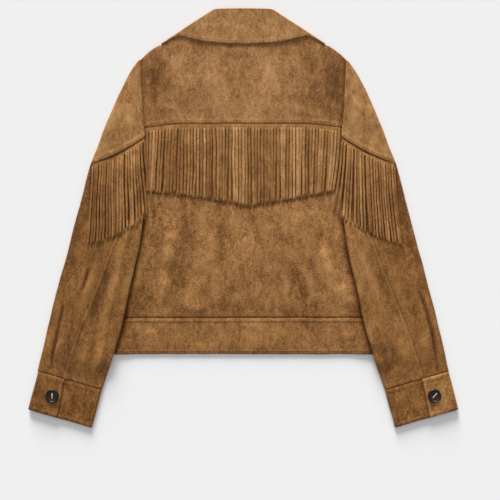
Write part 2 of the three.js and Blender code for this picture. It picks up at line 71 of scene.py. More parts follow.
# y, x
ARMHOLE = [(-3, 170), (54.3, 165.2), (137.4, 166.8), (212, 172.3), (268.6, 175)]
SIDE = [(-300, 250), (HEM_Y, 236), (BAND_Y, 224), (-100, 208), (-40, 196), (-18, 186), (-3, 170)]
SLEEVE_OUTER = [(-325, 366), (-260.7, 350), (-221, 341), (-180, 331.5), (-139, 321), (-99, 311), (-58, 299), (-17, 289),
                (24, 277.5), (65, 268), (93.5, 259.5), (119, 249.5), (160, 234), (201, 216.5), (241, 197), (262, 184), (268.6, 178.5)]
SLEEVE_INNER = [(-292, 241), (-253, 227), (-209, 213), (-172, 203), (-121, 192.8), (-88, 184.5), (-52, 176.5), (-3, 170)]
# x, y
SHOULDER = [(88, 327.4), (140, 293.4), (145, 293.2), (161.5, 281.5), (175, 269)]
BACK_NECK = [(0, 322), (36.75, 322.5), (60, 324), (82, 326.6), (88, 327.4)]
FRONT_NECK = [(0, 262), (14, 264), (36.75, 269), (60, 281), (82, 309), (88, 327.4)]
BACK_YOKE = [(0, 160.5), (105, 160), (128, 158.5), (168, 153)]
FRINGE_HEM = [(-156, 45), (-99, 39), (-40, 30), (10, 20), (62, 29), (99, 35), (156, 45)]
SLEEVE_FRINGE = [(162, 16), (182, -6), (208, -26), (234, -40), (262, -49)]


def interp(rows, sigma=0.0):
    """Curve through a table's rows, softened over sigma millimetres."""
    rows = sorted(rows)
    xs, ys = np.array([r[0] for r in rows], float), np.array([r[1] for r in rows], float)
    g = np.arange(xs[0] - 60, xs[-1] + 61, 1.0)
    y = np.interp(g, xs, ys)
    y[g < xs[0]] = (ys[0] + (g - xs[0]) * (ys[1] - ys[0]) / (xs[1] - xs[0]))[g < xs[0]]
    y[g > xs[-1]] = (ys[-1] + (g - xs[-1]) * (ys[-1] - ys[-2]) / (xs[-1] - xs[-2]))[g > xs[-1]]
    if sigma:
        n = int(3 * sigma)
        k = np.exp(-0.5 * (np.arange(-n, n + 1) / sigma) ** 2)
        s = np.convolve(y, k / k.sum(), mode="same")
        y = np.concatenate([y[:n], s[n:-n], y[-n:]])
    return lambda q: np.interp(q, g, y)


armhole, side = interp(ARMHOLE, 4), interp(SIDE, 3)
outer_x, inner_x = interp(SLEEVE_OUTER, 9), interp(SLEEVE_INNER, 9)
shoulder_y, back_neck, front_neck = interp(SHOULDER, 3.5), interp(BACK_NECK, 5), interp(FRONT_NECK, 5)
yoke_y = interp([(-x, y) for x, y in BACK_YOKE[1:]] + BACK_YOKE, 7)
fringe_hem = interp(FRINGE_HEM, 5)
sleeve_hem = interp(SLEEVE_FRINGE, 4)


def step(t):
    c = np.clip(t, 0.0, 1.0)
    return c * c * (3 - 2 * c)


def body_half(y):
    y = np.asarray(y, float)
    tuck = 2.4 * step((y + 9) / 6) * (1 - step((y - 26) / 12))  # a little hide runs on beneath the sleeve at the underarm
    return np.where(y < UNDERARM[1], side(y), armhole(y)) + tuck


def lift(x, y):
    return WING * step((y - 96) / 116) * (1 - step((np.abs(x) - 130) / 36))


def side_loft(x, y):
    return FOLD_LOFT * step((np.abs(x) - (body_half(y) - 58)) / 48) * step((-8 - y) / 40)


def polyline_distance(x, y, pts):
    """Distance to a polyline and the share of its length where the nearest point lies."""
    pts = np.asarray(pts, float)
    seg = np.diff(pts, axis=0)
    ln = np.hypot(seg[:, 0], seg[:, 1])
    start = np.concatenate([[0], np.cumsum(ln)])
    best, where, sgn = np.full(np.shape(x), 1e9), np.zeros(np.shape(x)), np.ones(np.shape(x))
    for (px, py), (dx, dy), l, s0 in zip(pts[:-1], seg, ln, start):
        t = np.clip(((x - px) * dx + (y - py) * dy) / max(l * l, 1e-9), 0, 1)
        ex, ey = x - (px + t * dx), y - (py + t * dy)
        d = np.hypot(ex, ey)
        m = d < best
        best = np.where(m, d, best)
        where = np.where(m, (s0 + t * l) / start[-1], where)
        sgn = np.where(m, np.sign(dx * ey - dy * ex), sgn)
    return best, where, sgn


def noise2(x, y, size, seed, octaves=2):
    """Smooth repeatable noise in -1..1 with features of about `size` mm."""
    out, amp, tot = 0.0, 1.0, 0.0
    for o in range(octaves):
        r = np.random.default_rng(seed * 31 + o)
        acc = 0.0
        for _ in range(7):
            a, ph, f = r.uniform(0, 2 * math.pi), r.uniform(0, 2 * math.pi), r.uniform(0.7, 1.35)
            k = 2 * math.pi * f / (size / (2 ** o))
            acc = acc + np.sin(k * (math.cos(a) * x + math.sin(a) * y) + ph)
        out = out + amp * acc / 7 * 1.9
        tot += amp
        amp *= 0.5
    return np.clip(out / tot, -1, 1)


# ------------------------------------------------------------------ creases
# each: points (mm), half width, rise (+ ridge, - trough), skew (share by which it is steeper on its left of travel)
BODY_CREASES = [
    dict(pts=[(-126, -18), (-128, -58), (-131, -88)], w=10, h=2.1),
    dict(pts=[(-89, 4), (-97, -46), (-104, -88), (-112, -138)], w=15, h=-2.2),
    dict(pts=[(-127, -90), (-136, -122), (-144, -154)], w=8, h=1.7),
    dict(pts=[(-146, -76), (-148, -122), (-144, -156)], w=5, h=-1.3),
    dict(pts=[(-133, -130), (-133, -163)], w=3, h=-1.0),
    dict(pts=[(-55, -22), (-53, -58), (-58, -84)], w=9, h=1.5),
    dict(pts=[(-74, -46), (-76, -72), (-82, -100)], w=8, h=1.3),
    dict(pts=[(-36, -6), (-38, -54), (-42, -90)], w=9, h=-1.4),
    dict(pts=[(-19, -112), (-31, -144), (-43, -166)], w=9, h=-1.3),
    dict(pts=[(4, -28), (6, -60), (3, -92)], w=13, h=1.0),
    dict(pts=[(22, -88), (30, -118), (28, -150)], w=10, h=-0.9),
    dict(pts=[(80, -66), (93, -109), (112, -150)], w=9, h=-1.8),
    dict(pts=[(101, -76), (112, -114), (127, -150)], w=8, h=1.7),
    dict(pts=[(106, -64), (122, -100), (143, -142)], w=7, h=-1.8),
    dict(pts=[(131, -42), (142, -85), (151, -116), (155, -150)], w=8, h=2.2),
    dict(pts=[(151, -86), (154, -122), (155, -158)], w=3.2, h=-1.7),
    dict(pts=[(160, -110), (172, -138), (178, -156)], w=10, h=1.9),
    dict(pts=[(168, -40), (176, -80), (184, -112)], w=8, h=-1.3),
    dict(pts=[(-168, -30), (-176, -84), (-186, -140)], w=9, h=1.1),
    dict(pts=[(-112, -140), (-84, -158), (-52, -152)], w=8, h=1.2),
    dict(pts=[(58, 12), (64, -24), (70, -56)], w=14, h=-0.9),
]
YOKE_CREASES = [
    dict(pts=[(150, 262), (153, 226), (150, 186)], w=9, h=-1.3),
    dict(pts=[(162, 252), (161, 216), (158, 176)], w=5, h=-1.0),
    dict(pts=[(-156, 258), (-152, 222), (-150, 184)], w=9, h=-1.4),
    dict(pts=[(-141, 232), (-128, 210), (-120, 186)], w=8, h=-0.8),
    dict(pts=[(-44, 262), (-38, 232), (-40, 204)], w=18, h=0.4),
    dict(pts=[(52, 276), (44, 240), (50, 200)], w=20, h=0.45),
    dict(pts=[(104, 280), (112, 244), (108, 206)], w=12, h=-0.8),
    dict(pts=[(-60, 290), (-10, 284), (40, 288)], w=10, h=0.7),
    dict(pts=[(-134, 276), (-98, 280)], w=6, h=-0.6),
]
BAND_CREASES = [
    dict(pts=[(-166, -206), (-154, -190)], w=6, h=1.0), dict(pts=[(-188, -214), (-176, -196)], w=6, h=-0.8),
    dict(pts=[(-20, -182), (20, -184), (44, -200)], w=8, h=0.8), dict(pts=[(96, -178), (120, -200)], w=7, h=-0.6),
    dict(pts=[(172, -196), (184, -206)], w=7, h=1.0), dict(pts=[(-96, -206), (-60, -212)], w=8, h=-0.6),
    dict(pts=[(60, -214), (100, -210)], w=7, h=-0.6),
]
RIGHT_CREASES = [  # +X sleeve
    dict(pts=[(297, -112), (304, -140), (312, -166), (320, -196), (326, -228), (330, -258)], w=3.6, h=-2.1),
    dict(pts=[(305, -116), (312, -142), (320, -168), (328, -198), (334, -228), (337, -256)], w=5, h=1.6),
    dict(pts=[(286, -92), (296, -124), (306, -158), (312, -190)], w=7, h=0.9),
    dict(pts=[(240, -70), (254, -106), (268, -142), (282, -178)], w=9, h=1.3),
    dict(pts=[(222, -72), (236, -112), (250, -150), (262, -190)], w=8, h=-1.4),
    dict(pts=[(203, -62), (214, -100), (228, -142), (242, -190)], w=8, h=1.4),
    dict(pts=[(262, -200), (270, -228), (276, -256)], w=7, h=1.1),
    dict(pts=[(250, -214), (256, -240), (262, -262)], w=6, h=-1.0),
    dict(pts=[(300, -196), (308, -226), (314, -252)], w=6, h=1.0),
    dict(pts=[(256, -52), (270, -80), (280, -104)], w=9, h=-1.1),
    dict(pts=[(268, 60), (262, 20), (268, -24)], w=9, h=-0.8),
    dict(pts=[(274, -40), (292, -64), (300, -92)], w=6, h=-1.0),
    dict(pts=[(198, 232), (206, 206), (214, 180)], w=7, h=-0.8),
    dict(pts=[(186, 214), (190, 184), (194, 156)], w=6, h=0.8),
    dict(pts=[(222, 166), (230, 142), (240, 118)], w=8, h=-0.9),
    dict(pts=[(230, -232), (240, -258), (248, -280)], w=6, h=0.9),
]
LEFT_CREASES = [  # -X sleeve
    dict(pts=[(-301, -132), (-309, -166), (-316, -198), (-322, -228), (-328, -258)], w=3.6, h=-1.4),
    dict(pts=[(-311, -136), (-320, -172), (-328, -206), (-336, -250)], w=5, h=1.4),
    dict(pts=[(-259, -80), (-266, -102), (-274, -128)], w=3.4, h=-1.4),
    dict(pts=[(-266, -78), (-274, -104), (-283, -134)], w=5, h=1.2),
    dict(pts=[(-243, -66), (-256, -98), (-266, -126), (-276, -158)], w=8, h=1.4),
    dict(pts=[(-226, -78), (-238, -112), (-252, -152), (-262, -188)], w=9, h=-1.5),
    dict(pts=[(-206, -62), (-216, -104), (-232, -150), (-246, -196)], w=8, h=1.3),
    dict(pts=[(-268, -170), (-276, -198), (-286, -226)], w=6, h=-1.3),
    dict(pts=[(-256, -196), (-266, -226), (-272, -254)], w=8, h=1.2),
    dict(pts=[(-284, -60), (-294, -92), (-306, -126)], w=7, h=-1.1),
    dict(pts=[(-300, -186), (-312, -218), (-318, -250)], w=6, h=1.0),
    dict(pts=[(-238, -216), (-246, -246), (-252, -272)], w=6, h=0.9),
    dict(pts=[(-262, 52), (-258, 16), (-266, -22)], w=9, h=-0.9),
    dict(pts=[(-196, 236), (-205, 206), (-216, 176)], w=7, h=-0.9),
    dict(pts=[(-184, 204), (-190, 176), (-192, 150)], w=6, h=0.9),
    dict(pts=[(-226, 158), (-234, 136), (-244, 112)], w=8, h=-0.8),
]


def creases(x, y, rows, gain=1.35):
    z = np.zeros(np.shape(x))
    for i, c in enumerate(rows):
        wob = 1 + 0.25 * noise2(x, y, 34, 40 + i, 1)
        d, t, s = polyline_distance(x, y, c["pts"])
        taper = step(t / 0.28) * step((1 - t) / 0.28)
        w = c["w"] * (1 + 0.22 * s)
        z = z + c["h"] * gain * wob * np.exp(-((d / w) ** 2)) * np.where(d < 3.2 * c["w"], taper, 0)
    return z


def ripple(x, y, seed, amp=0.28):
    """Small uneven hand of the hide."""
    return amp * (0.5 * noise2(x, y, 46, seed) + 0.34 * noise2(x, y, 15, seed + 7) + 0.2 * noise2(x, y, 7, seed + 9))


# ------------------------------------------------------------------ seams: plateau of the sewn-down turnings, its stitch row, and the groove
def seam_profile(x, y, pts, width=6.5, up=0.8, keep=None, dip=0.8):
    """Height change near a topstitched seam; keep chooses the side (+1 left of travel, -1 right, None both)."""
    d, t, s = polyline_distance(x, y, pts)
    on = 1.0 if keep is None else (s * keep > 0)
    plateau = up * (1 - step((d - width) / 1.6))
    row = -0.42 * np.exp(-(((d - width + 1.1) / 0.8) ** 2))
    groove = -dip * (1 - step(d / 1.7))
    return np.where(on, plateau + row, 0) + groove


YOKE_SEAM = [(x, float(yoke_y(x))) for x in np.linspace(-167, 167, 30)]
ARM_R = [(float(armhole(y)), y) for y in np.linspace(-3, 268, 28)]
ARM_L = [(-x, y) for x, y in ARM_R]
BAND_SEAM = [(-230, BAND_Y), (230, BAND_Y)]

# ------------------------------------------------------------------ mesh making
PIECES, OUTER_AREA = {}, {}


def to_object(name, verts, faces, replaces=(), tone=None, smooth=True, nap_and_fold_shade=None):
    mesh = bpy.data.meshes.new(name)
    mesh.from_pydata((np.asarray(verts, float) * 0.001).tolist(), [], faces)
    mesh.validate()
    if smooth:
        mesh.shade_smooth()
    v = np.asarray(verts, float)
    if tone is not None:
        # per-vertex colour factor: darker towards the cuffs, with the painted shade and painted highlights that the
        # tone functions lay along seams, folds, edges and under other parts
        col = mesh.color_attributes.new("tone", "FLOAT_COLOR", "POINT")
        buf = np.ones((len(v), 4), np.float32)
        g = np.clip(np.asarray(tone, float).reshape(len(v), -1)[:, :1], 0.3, 1.4)
        buf[:, :3] = np.concatenate([g ** 2.2, g ** 2.87, g ** 4.3], 1)
        col.data.foreach_set("color", buf.ravel())
        # per-vertex shift of the colour ramp: lighter and darker areas of nap, painted light on crease crests and
        # painted shade in their troughs
        w = mesh.attributes.new("nap_and_fold_shade", "FLOAT", "POINT")
        w.data.foreach_set("value", np.zeros(len(v), np.float32) if nap_and_fold_shade is None else np.asarray(nap_and_fold_shade, np.float32))
    ob = bpy.data.objects.new(name, mesh)
    SCENE.collection.objects.link(ob)
    if replaces:
        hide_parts(*replaces)
    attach(ob, "root")
    PIECES[name] = ob
    return ob


def grid_normals(P):
    du, dv = np.gradient(P, axis=1), np.gradient(P, axis=0)
    n = np.cross(du, dv)
    ln = np.linalg.norm(n, axis=2, keepdims=True)
    ln[ln < 1e-9] = 1
    return n / ln


def shell(name, P, replaces, thick=1.4, ref=None, up=True, tone_fn=None, edge=0.32, fold_shade_rows=()):
    """Closed thin wall with softly rounded edges from a grid of outer points P (rows, columns, 3)."""
    R, C, _ = P.shape
    e1, e2 = P[1:, 1:] - P[:-1, :-1], P[1:, :-1] - P[:-1, 1:]
    OUTER_AREA[name] = float(np.linalg.norm(np.cross(e1, e2), axis=2).sum()) / 2 * 1e-6
    n = grid_normals(P)
    ref = ref or (R // 2, C // 2)
    if (n[ref][2] > 0) != up:
        n = -n
    inner = P - n * thick
    loop = [(0, j) for j in range(C)] + [(i, C - 1) for i in range(1, R)] + [(R - 1, j) for j in range(C - 2, -1, -1)] + [(i, 0) for i in range(R - 2, 0, -1)]
    mids = []
    for i, j in loop:
        t = np.zeros(3)
        if i == 0: t += P[0, j] - P[1, j]
        if i == R - 1: t += P[-1, j] - P[-2, j]
        if j == 0: t += P[i, 0] - P[i, 1]
        if j == C - 1: t += P[i, -1] - P[i, -2]
        t /= max(np.linalg.norm(t), 1e-9)
        mids.append((P[i, j] + inner[i, j]) / 2 + t * thick * edge)
    V = np.concatenate([P.reshape(-1, 3), inner.reshape(-1, 3), np.array(mids)])
    a = (np.arange(R - 1)[:, None] * C + np.arange(C - 1)[None, :]).ravel()
    q = np.stack([a, a + 1, a + C + 1, a + C], 1)
    faces = np.concatenate([q, q[:, ::-1] + R * C]).tolist()
    M = 2 * R * C
    L = len(loop)
    for k in range(L):
        k2 = (k + 1) % L
        o1, o2 = loop[k][0] * C + loop[k][1], loop[k2][0] * C + loop[k2][1]
        faces.append([o2, o1, M + k, M + k2])
        faces.append([M + k2, M + k, R * C + o1, R * C + o2])
    # face outwards
    F = np.array(faces)
    p0, p1, p2, p3 = (V[F[:, k]] for k in range(4))
    vol = (np.einsum("ij,ij->i", p0, np.cross(p1, p2)) + np.einsum("ij,ij->i", p0, np.cross(p2, p3))).sum()
    if vol < 0:
        faces = F[:, ::-1].tolist()
    tone = np.ones((len(V), 3))
    if tone_fn is not None:
        tone *= tone_fn(V[:, 0], V[:, 1], V[:, 2])[:, None]
    # painted shade: the inner side of every wall is made 10 % darker
    tone[R * C:M] *= 0.9
    return to_object(name, V, faces, replaces, tone, nap_and_fold_shade=nap_and_fold_shade_at(V[:, 0], V[:, 1], fold_shade_rows))


# ------------------------------------------------------------------ light and dark areas of the hide
# x, y, half width, half height, turn in degrees, change
PATCHES = [
    (26, 240, 62, 46, 10, 0.07), (44, 268, 30, 22, 0, 0.04), (30, 190, 50, 26, 0, 0.03), (144, 232, 24, 66, 4, -0.17), (165, 206, 9, 62, 3, -0.08), (112, 210, 26, 40, 30, -0.05),
    (-154, 246, 18, 34, -4, -0.13), (-146, 198, 24, 46, -10, -0.08), (-128, 238, 22, 30, -20, -0.04), (96, 246, 20, 50, 0, -0.06), (0, 296, 80, 12, 0, -0.07), (-52, 214, 26, 30, 0, 0.04), (-86, 184, 26, 18, 0, 0.03),
    (-70, 250, 40, 40, 0, 0.03), (-126, 196, 26, 20, 20, -0.05), (104, 170, 34, 14, 0, -0.03),
    (88, 10, 26, 18, 0, 0.08), (-60, 6, 34, 14, 0, 0.04), (-104, -70, 13, 62, -8, -0.11), (-82, -92, 24, 34, 0, 0.07),
    (-128, -56, 9, 34, -4, 0.09), (-38, -50, 12, 46, -3, -0.05), (-100, -140, 34, 11, 0, 0.07), (-168, -140, 34, 22, 20, -0.13), (-150, -20, 22, 50, 0, -0.05),
    (30, -96, 40, 40, 0, 0.02), (96, -110, 10, 46, 22, -0.06), (124, -112, 8, 42, 24, -0.07), (146, -84, 9, 44, 12, 0.08),
    (170, -140, 12, 18, 10, 0.12), (188, -158, 14, 18, 0, -0.20), (-40, -158, 30, 12, 0, -0.05), (0, -30, 40, 30, 0, -0.02),
    (40, -192, 36, 11, 0, 0.07), (-160, -200, 12, 10, 35, 0.06), (180, -202, 12, 9, 0, 0.05), (0, -224, 240, 9, 0, -0.10),
    (-196, -206, 20, 18, 0, -0.06), (90, -200, 30, 12, 0, -0.03),
    # right sleeve
    (212, 200, 22, 46, 18, 0.05), (196, -78, 13, 78, 12, 0.13), (262, 40, 22, 52, 0, -0.12), (222, -40, 15, 30, 0, 0.06),
    (322, -120, 9, 90, 13, -0.10), (286, -40, 12, 44, 12, -0.06), (258, -150, 15, 40, 14, 0.03), (232, -236, 14, 34, 16, -0.10),
    (282, -236, 20, 28, 12, 0.04), (300, -282, 60, 14, 16, -0.02), (258, -330, 16, 26, 16, -0.16), (274, -312, 20, 24, 14, -0.07), (296, -316, 12, 9, -20, 0.07), (262, -306, 8, 10, 0, 0.09), (284, -338, 12, 8, 10, -0.08), (350, -318, 8, 8, 0, -0.07),
    (342, -290, 12, 28, 14, 0.05), (330, -322, 14, 12, 0, 0.05), (214, -196, 9, 40, 14, 0.05), (306, -180, 12, 40, 12, 0.03),
    # left sleeve
    (-206, 206, 20, 46, -18, 0.05), (-184, -70, 9, 70, -12, 0.13), (-286, -6, 12, 60, -10, -0.20), (-254, 48, 30, 44, 0, -0.06),
    (-262, -122, 10, 38, -14, 0.10), (-226, -100, 16, 50, -14, -0.04), (-256, -208, 12, 26, -12, -0.16), (-300, -236, 14, 30, -12, -0.07),
    (-318, -120, 9, 80, -13, -0.12), (-240, -210, 11, 40, -14, 0.04), (-282, -256, 30, 12, -16, -0.05), (-278, -300, 30, 34, -14, -0.05), (-286, -318, 12, 9, 30, -0.10), (-258, -306, 9, 12, 0, 0.10), (-300, -296, 8, 14, 0, 0.08), (-262, -226, 14, 9, 20, 0.06),
    (-262, -332, 18, 20, 0, -0.13), (-350, -300, 12, 26, -14, -0.04), (-266, -176, 9, 30, -12, 0.05), (-236, -262, 14, 22, -14, -0.10),
]
# height to shade: the hide is lighter towards the collar and deeper towards the cuffs
SHADE = interp([(-360, 0.95), (-250, 0.935), (-150, 0.945), (-60, 0.965), (60, 0.975), (160, 0.99), (250, 1.0), (330, 1.0)], 20)


def tone_at(x, y, z=None, base=1.0):
    return base * SHADE(y)


def nap_and_fold_shade_at(x, y, rows=()):
    """How far the colour is lifted (+) or lowered (-): placed lighter and darker areas of nap, painted light on the
    crests and painted shade in the troughs of the creases.
    """
    add = np.zeros(np.shape(x))
    bx, by = x + 5 * noise2(x, y, 22, 61), y + 5 * noise2(x, y, 22, 62)
    for px, py, w, h, deg, ch in PATCHES:
        a = math.radians(deg)
        dx, dy = bx - px, by - py
        u, v = (dx * math.cos(a) + dy * math.sin(a)) / w, (-dx * math.sin(a) + dy * math.cos(a)) / h
        add = add + ch * np.exp(-(u * u + v * v) ** 1.15 * 0.9)
    if len(rows):
        # painted light on the crease crests and painted shade in their troughs, partly a change of nap
        add = add + 0.055 * np.clip(creases(x, y, rows), -2.4, 2.2)
    return add + 0.035 * noise2(x, y, 60, 3)


def darken(x, y, pts, width, amount, keep=None):
    d, _, s = polyline_distance(x, y, pts)
    k = 1 - amount * np.exp(-((d / width) ** 2))
    return k if keep is None else np.where(s * keep > 0, k, 1.0)


# ------------------------------------------------------------------ body
def body_rows(ys_side, y_of, cols, is_front, extra):
    """Grid of outer points; rows run side to side. y_of(x, i) gives the height of row i at x."""
    angles = np.radians([16, 34, 52, 68, 80, 86] if not is_front else [34, 60, 84])
    rows = []
    for i, ys in enumerate(ys_side):
        half = float(body_half(ys)) - SEAM / 2 * float(step((ys - UNDERARM[1] + 4) / 8))
        top = PAIR + float(side_loft(half - 3, ys)) + float(lift(half - 3, ys))
        bottom = float(lift(half - 3, ys))
        r, zc = (top - bottom) / 2, (top + bottom) / 2
        opened = float(step((UNDERARM[1] - ys) / 12))
        f = np.concatenate([cols, []])
        x = f * (half - r)
        y = y_of(x, i)
        z = extra(x, y)
        k = np.arange(1, len(angles) + 1) / len(angles)
        if is_front:
            flatx, arcx = half - r + r * k, half - r + r * np.sin(angles)
            arcz = zc - r * np.cos(angles)
            sx = flatx * (1 - opened) + arcx * opened
            sy = y_of(sx, i)
            sz = extra(sx, sy) * (1 - opened) + arcz * opened
            rows.append(np.stack([np.concatenate([x, sx]), np.concatenate([y, sy]), np.concatenate([z, sz])], 1))
        else:
            flatx, arcx = half - r + r * k, half - r + r * np.sin(angles)
            arcz = zc + r * np.cos(angles)
            sx = flatx * (1 - opened) + arcx * opened
            sy = y_of(sx, i)
            szr = extra(sx, sy) * (1 - opened) + arcz * opened
            szl = extra(-sx, sy) * (1 - opened) + arcz * opened
            X = np.concatenate([-sx[::-1], x, sx])
            Y = np.concatenate([sy[::-1], y, sy])
            Z = np.concatenate([szl[::-1], z, szr])
            rows.append(np.stack([X, Y, Z], 1))
    return np.array(rows)


def crown(x, y):
    """The middle of the body stands a little off the fronts."""
    return 1.6 * (1 - np.clip(np.abs(x) / 165, 0, 1) ** 2.2) * step((y + 172) / 40) * step((150 - y) / 60)


def back_height(x, y):
    drape = creases(x, y, BODY_CREASES) * step((y + 174) / 18) * step((22 - y) / 24)
    z = lift(x, y) + PAIR + side_loft(x, y) + crown(x, y) + np.maximum(drape + 1.0 * step((14 - y) / 40) * step((y + 170) / 26), -0.2) + ripple(x, y, 11, 0.22)
    z = z + seam_profile(x, y, BAND_SEAM, width=0.4, up=0.0, dip=0.9)
    return z


def yoke_height(x, y):
    z = lift(x, y) + PAIR + np.maximum(creases(x, y, YOKE_CREASES) + 0.5, -0.3) * step((300 - y) / 14) + ripple(x, y, 12, 0.2)
    z = z + seam_profile(x, y, YOKE_SEAM, width=7.4, up=0.8, keep=1, dip=0.5)
    for arm in (ARM_R, ARM_L):
        d, _, _ = polyline_distance(x, y, arm)
        z = z - 0.9 * np.exp(-((d / 5.0) ** 2))
    return z


def resample(n, lo=-1.0, hi=1.0):
    return np.linspace(lo, hi, n)


NB = 150 if FINE else 60
ys = np.concatenate([np.linspace(BAND_Y + SEAM / 2, -40, 48 if FINE else 22)[:-1], np.linspace(-40, 0, 22 if FINE else 12)[:-1], np.linspace(0, 153, 52 if FINE else 22)])
tt = (ys - ys[0]) / (ys[-1] - ys[0])


def back_y(x, i):
    return ys[0] + tt[i] * (yoke_y(x) - SEAM / 2 - ys[0])


P = body_rows(ys, back_y, resample(NB), False, back_height)


INNER_LINE = [(float(inner_x(y)), float(y)) for y in np.linspace(-3, -236, 22)]


def mirror_pts(pts):
    return [(-x, y) for x, y in pts]


def back_tone(x, y, z):
    t = tone_at(x, y, base=1.0)
    # painted shade in the band seam groove and below the yoke seam
    t = t * darken(x, y, BAND_SEAM, 1.5, 0.16) * darken(x, y, YOKE_SEAM, 4.0, 0.2)
    # painted shadow just below the ends of the fringe strands
    hem_v = [(a, b - 1.5) for a, b in FRINGE_HEM]
    t = t * darken(x, y, hem_v, 2.6, 0.2)
    # painted shadow on the body beside each sleeve's inner fold
    for line in (INNER_LINE, mirror_pts(INNER_LINE)):
        t = t * darken(x, y, line, 6.0, 0.42)
    # painted shade on the body under the back fringe
    return t * (1 - 0.26 * step((y - fringe_hem(x) - 2) / 4) * step((169 - np.abs(x)) / 3))


back_panel = shell("back_panel_hide", P, ["back_panel"], tone_fn=back_tone, fold_shade_rows=BODY_CREASES)

yr = np.linspace(0, 1, 58 if FINE else 24)


def yoke_yf(x, i):
    lo = yoke_y(x) + SEAM / 2
    hi = np.where(np.abs(x) < 88, back_neck(np.abs(x)), shoulder_y(np.abs(x)))
    return lo + yr[i] * (hi - lo)


P = body_rows(153 + yr * (268.6 - 153), yoke_yf, resample(NB), False, yoke_height)


def yoke_tone(x, y, z):
    t = tone_at(x, y, base=1.0)
    # painted shade along the armhole seams and the yoke seam
    return t * darken(x, y, ARM_R, 5.5, 0.26) * darken(x, y, ARM_L, 5.5, 0.2) * darken(x, y, YOKE_SEAM, 1.5, 0.16)


back_yoke = shell("back_yoke_hide", P, ["back_yoke"], tone_fn=yoke_tone, fold_shade_rows=YOKE_CREASES)

# fronts, plain, flat on the surface
ys_f = np.concatenate([np.linspace(BAND_Y + SEAM / 2, -40, 16)[:-1], np.linspace(-40, 6, 12)[:-1], np.linspace(6, 268.6, 34)])


def front_y(x, i):
    s = ys_f[i]
    if s <= 212:
        return np.full(np.shape(x), s)
    t = (s - 212) / (268.6 - 212)
    hi = np.where(x < 88, front_neck(x), shoulder_y(x))
    return 212 + t * (hi - 212)


for tag, sg in (("right", 1), ("left", -1)):
    P = body_rows(ys_f, front_y, np.linspace(0.004, 1, 34), True, lambda x, y: lift(x, y))
    P = P.copy()
    P[:, :, 0] *= sg
    # painted shade: the fronts, which lie under the back, are made 10 % darker
    shell(f"front_{tag}_hide", P, [f"front_{tag}"], up=False, thick=1.5, ref=(20, 10), tone_fn=lambda x, y, z: 0.9 * tone_at(x, y))


# hem band: one strip all the way round
def band_height(x, y):
    z = PAIR + side_loft(x, y) + 0.35 + 0.0 * x + creases(x, y, BAND_CREASES) + ripple(x, y, 13, 0.25)
    z = z + seam_profile(x, y, BAND_SEAM, width=6.0, up=0.55, dip=0.9)
    z = z - 0.8 * step((HEM_Y + 6 - y) / 6) + 0.25 * np.exp(-(((y - HEM_Y - 5.5) / 1.6) ** 2))
    return z


rows = []
for y in np.linspace(BAND_Y - SEAM / 2, HEM_Y, 34 if FINE else 14):
    half = float(body_half(y))
    top = PAIR + float(side_loft(half - 3, BAND_Y))
    r = top / 2
    x = np.linspace(-1, 1, NB) * (half - r)
    z = band_height(x, np.full(x.shape, y))
    edge = step((np.abs(x) - (half - r - 14)) / 14)
    z = z * (1 - edge) + top * edge
    ang = np.radians(np.linspace(12, 180, 12))
    ax, az = half - r + r * np.sin(ang), r + r * np.cos(ang)
    lo = np.linspace(half - r, 0.6, 18)[1:]
    X = np.concatenate([-lo[::-1], -ax[::-1], x, ax, lo])
    Z = np.concatenate([0 * lo, az[::-1], z, az, 0 * lo])
    rows.append(np.stack([X, np.full(X.shape, y), Z], 1))
# tone: painted shadow beside the sleeves' inner folds, painted shade in the band seam, a painted highlight on the
# raised turnings just below the seam, painted shade along their lower edge 7.4 mm below it, and a lighter strip 3 mm
# above the hem edge
hem_band = shell("hem_band_hide", np.array(rows), ["hem_band"], fold_shade_rows=BAND_CREASES,
                 tone_fn=lambda x, y, z: tone_at(x, y, base=1.0) * darken(x, y, INNER_LINE, 6.0, 0.38) * darken(x, y, mirror_pts(INNER_LINE), 6.0, 0.38) * darken(x, y, BAND_SEAM, 1.6, 0.2) * (1 + 0.04 * np.exp(-(((y - BAND_Y + 4) / 2.4) ** 2))) * (1 - 0.07 * np.exp(-(((y - BAND_Y + 7.4) / 1.1) ** 2))) * (1 + 0.05 * np.exp(-(((y - HEM_Y - 3) / 2.5) ** 2))))

# ------------------------------------------------------------------ sleeves, made on +X; mirrored for -X before creasing
ARM_SHARE, MID_SHARE = 0.588, 0.77
R0 = (PAIR + FOLD_LOFT) / 2


def head_curve(s):
    s = np.asarray(s, float)
    y = UNDERARM[1] + (YOKE_A[1] - UNDERARM[1]) * np.clip(s / ARM_SHARE, 0, 1)
    px, py = armhole(y) + SEAM / 2, y
    u = np.clip((s - ARM_SHARE) / (1 - ARM_SHARE), 0, 1)
    um = (MID_SHARE - ARM_SHARE) / (1 - ARM_SHARE)
    # quadratic through A, M and E
    ctrl = (YOKE_M - (1 - um) ** 2 * YOKE_A - um ** 2 * YOKE_E) / (2 * um * (1 - um))
    q = ((1 - u) ** 2)[..., None] * YOKE_A + (2 * u * (1 - u))[..., None] * ctrl + (u ** 2)[..., None] * YOKE_E
    on = s <= ARM_SHARE
    return np.where(on, px, q[..., 0]), np.where(on, py, q[..., 1])


def edge_normal(f, y, out):
    d = (f(y + 9) - f(y - 9)) / 18
    n = np.hypot(1, d)
    return np.array([out / n, -out * d / n])


def gather(v):
    """How far the inner fold has opened out: it is pinched flat where it meets the armhole."""
    return 0.08 + 0.92 * float(step(v / 0.06))


def inner_at(v):
    y = UNDERARM[1] + (CUFF_IN[1] - UNDERARM[1]) * v
    return np.array([inner_x(y) + SEAM / 2 * (1 - step(v / 0.05)), y])


def outer_at(v):
    y = YOKE_E[1] + (CUFF_OUT[1] - YOKE_E[1]) * v
    return np.array([outer_x(y), y])


